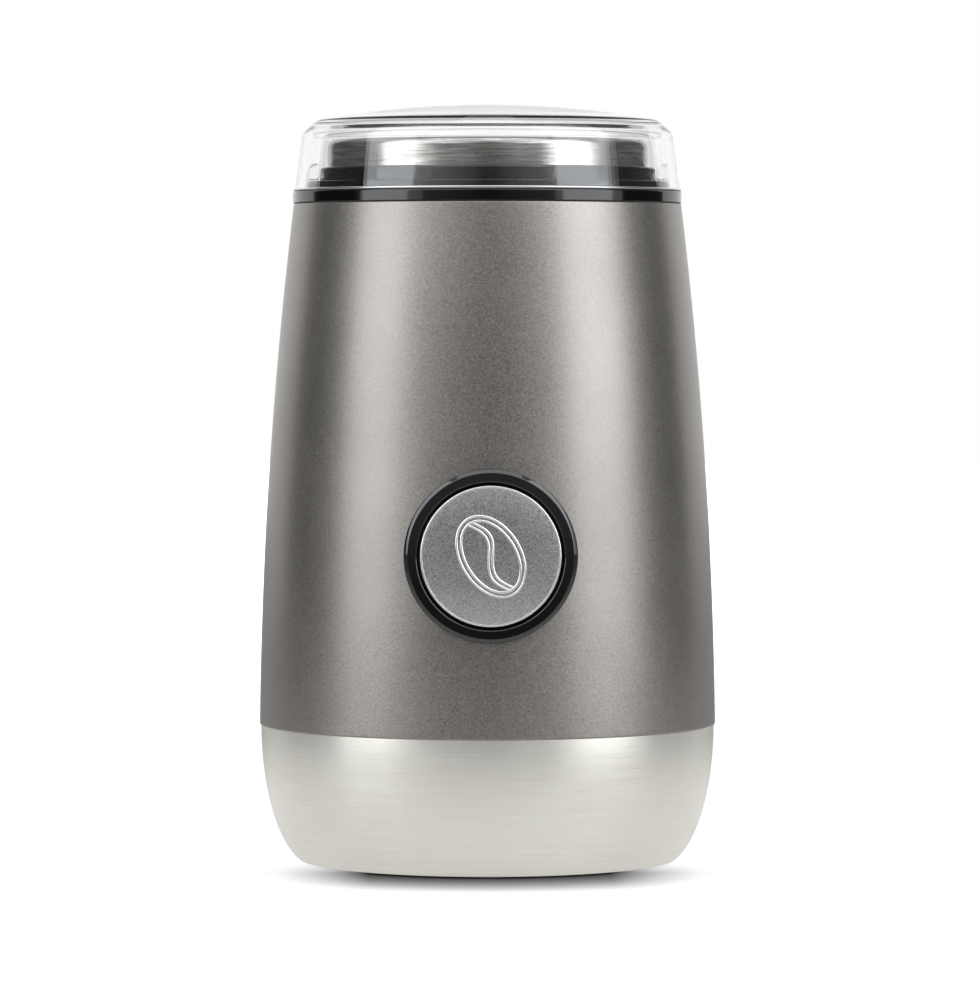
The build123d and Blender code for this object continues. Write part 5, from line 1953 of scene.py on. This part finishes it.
        direct = path.outputs["Is Camera Ray"]
        level = direct
        for name in ("Is Glossy Ray", "Is Transmission Ray"):
            level = higher(level, path.outputs[name])
        way = tree.nodes.new("ShaderNodeSeparateXYZ")
        tree.links.new(tree.nodes.new("ShaderNodeTexCoord").outputs["Generated"], way.inputs[0])
        ceiling = tree.nodes.new("ShaderNodeMapRange")
        settings = zip(("From Min", "From Max", "To Min", "To Max"), (*self.ceiling_span, 1.0, self.ceiling))
        for socket, number in settings:
            ceiling.inputs[socket].default_value = number
        tree.links.new(way.outputs[2], ceiling.inputs["Value"])
        light = tree.nodes.new("ShaderNodeMapRange")
        light.inputs["To Min"].default_value = self.surround_low
        tree.links.new(higher(ceiling.outputs[0], direct), light.inputs["To Max"])
        tree.links.new(level, light.inputs["Value"])
        tree.links.new(light.outputs[0], sky.inputs["Strength"])
        bpy.context.scene.world = world

    def camera(self) -> None:
        """Sets the camera at the photograph's angle."""
        data = bpy.data.cameras.new("catalogue_camera")
        data.lens = self.lens
        data.sensor_width = 36.0
        data.clip_start, data.clip_end = 0.05, 50.0
        eye = bpy.data.objects.new("catalogue_camera", data)
        eye.location = self.eye
        eye.rotation_euler = (Vector(self.aim) - Vector(self.eye)).to_track_quat("-Z", "Y").to_euler()
        bpy.context.scene.collection.objects.link(eye)
        bpy.context.scene.camera = eye

    def build(self) -> None:
        """Sets up floor, surround, lamps, cards and camera."""
        bpy.context.scene.view_settings.view_transform = "Standard"
        self.floor()
        self.surround()
        middle = Vector((0.0, 0.0, 0.09))
        aslant = {"distance": 0.75, "height": 0.49, "tall": 1.0}
        lamps = (
            Softbox("softbox_left", bearing=-63.0, width=0.5, power=3.0, **aslant),
            Softbox("softbox_right", bearing=60.0, width=0.55, power=3.85, **aslant),
            Softbox("softbox_top", bearing=0.0, distance=0.25, height=1.1, width=0.9, tall=0.9, power=3.0),
        )
        for lamp in lamps:
            lamp.hang(middle)
        beside = {"distance": 0.9, "height": 0.4, "tall": 0.72}
        by_lid = {"distance": 0.86, "height": 0.35, "width": 62.0, "tall": 0.7, "under_lid": True}
        cards = (
            Card(
                "card_front", bearing=0.0, distance=1.6, height=0.5, width=78.0, tall=1.6,
                low_tone=0.062, high_tone=0.52, side_rise=4.8,
            ),
            Card("card_left", bearing=-101.5, width=44.0, low_tone=0.03, high_tone=0.06, **beside),
            Card("card_right", bearing=104.0, width=40.0, low_tone=0.04, high_tone=0.08, **beside),
            Card("card_lid_left", bearing=-115.0, low_tone=0.14, high_tone=0.17, **by_lid),
            Card("card_lid_right", bearing=115.0, low_tone=0.17, high_tone=0.2, **by_lid),
        )
        for card in cards:
            card.stand()
        self.camera()


def main() -> None:
    """Builds the grinder's looks round its frame."""
    logging.basicConfig(level=logging.INFO, format="%(name)s %(message)s")
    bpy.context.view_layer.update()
    groups = (
        SteelRing("housing"), PaintedShell("housing"), GlossCollar("housing"), SteelBowl("housing"),
        ClearLid("lid"), GrindingBlade("rotor"), ButtonBezel("housing"), PushButton("button"),
        ReturnSpring("housing"), Underside("housing"), CordGland("housing"), InnerWorks("housing"),
    )
    for group in groups:
        group.build()
    Studio().build()
    LOG.info("%d sub-assemblies built", len(groups))


if __name__ == "__main__":
    main()
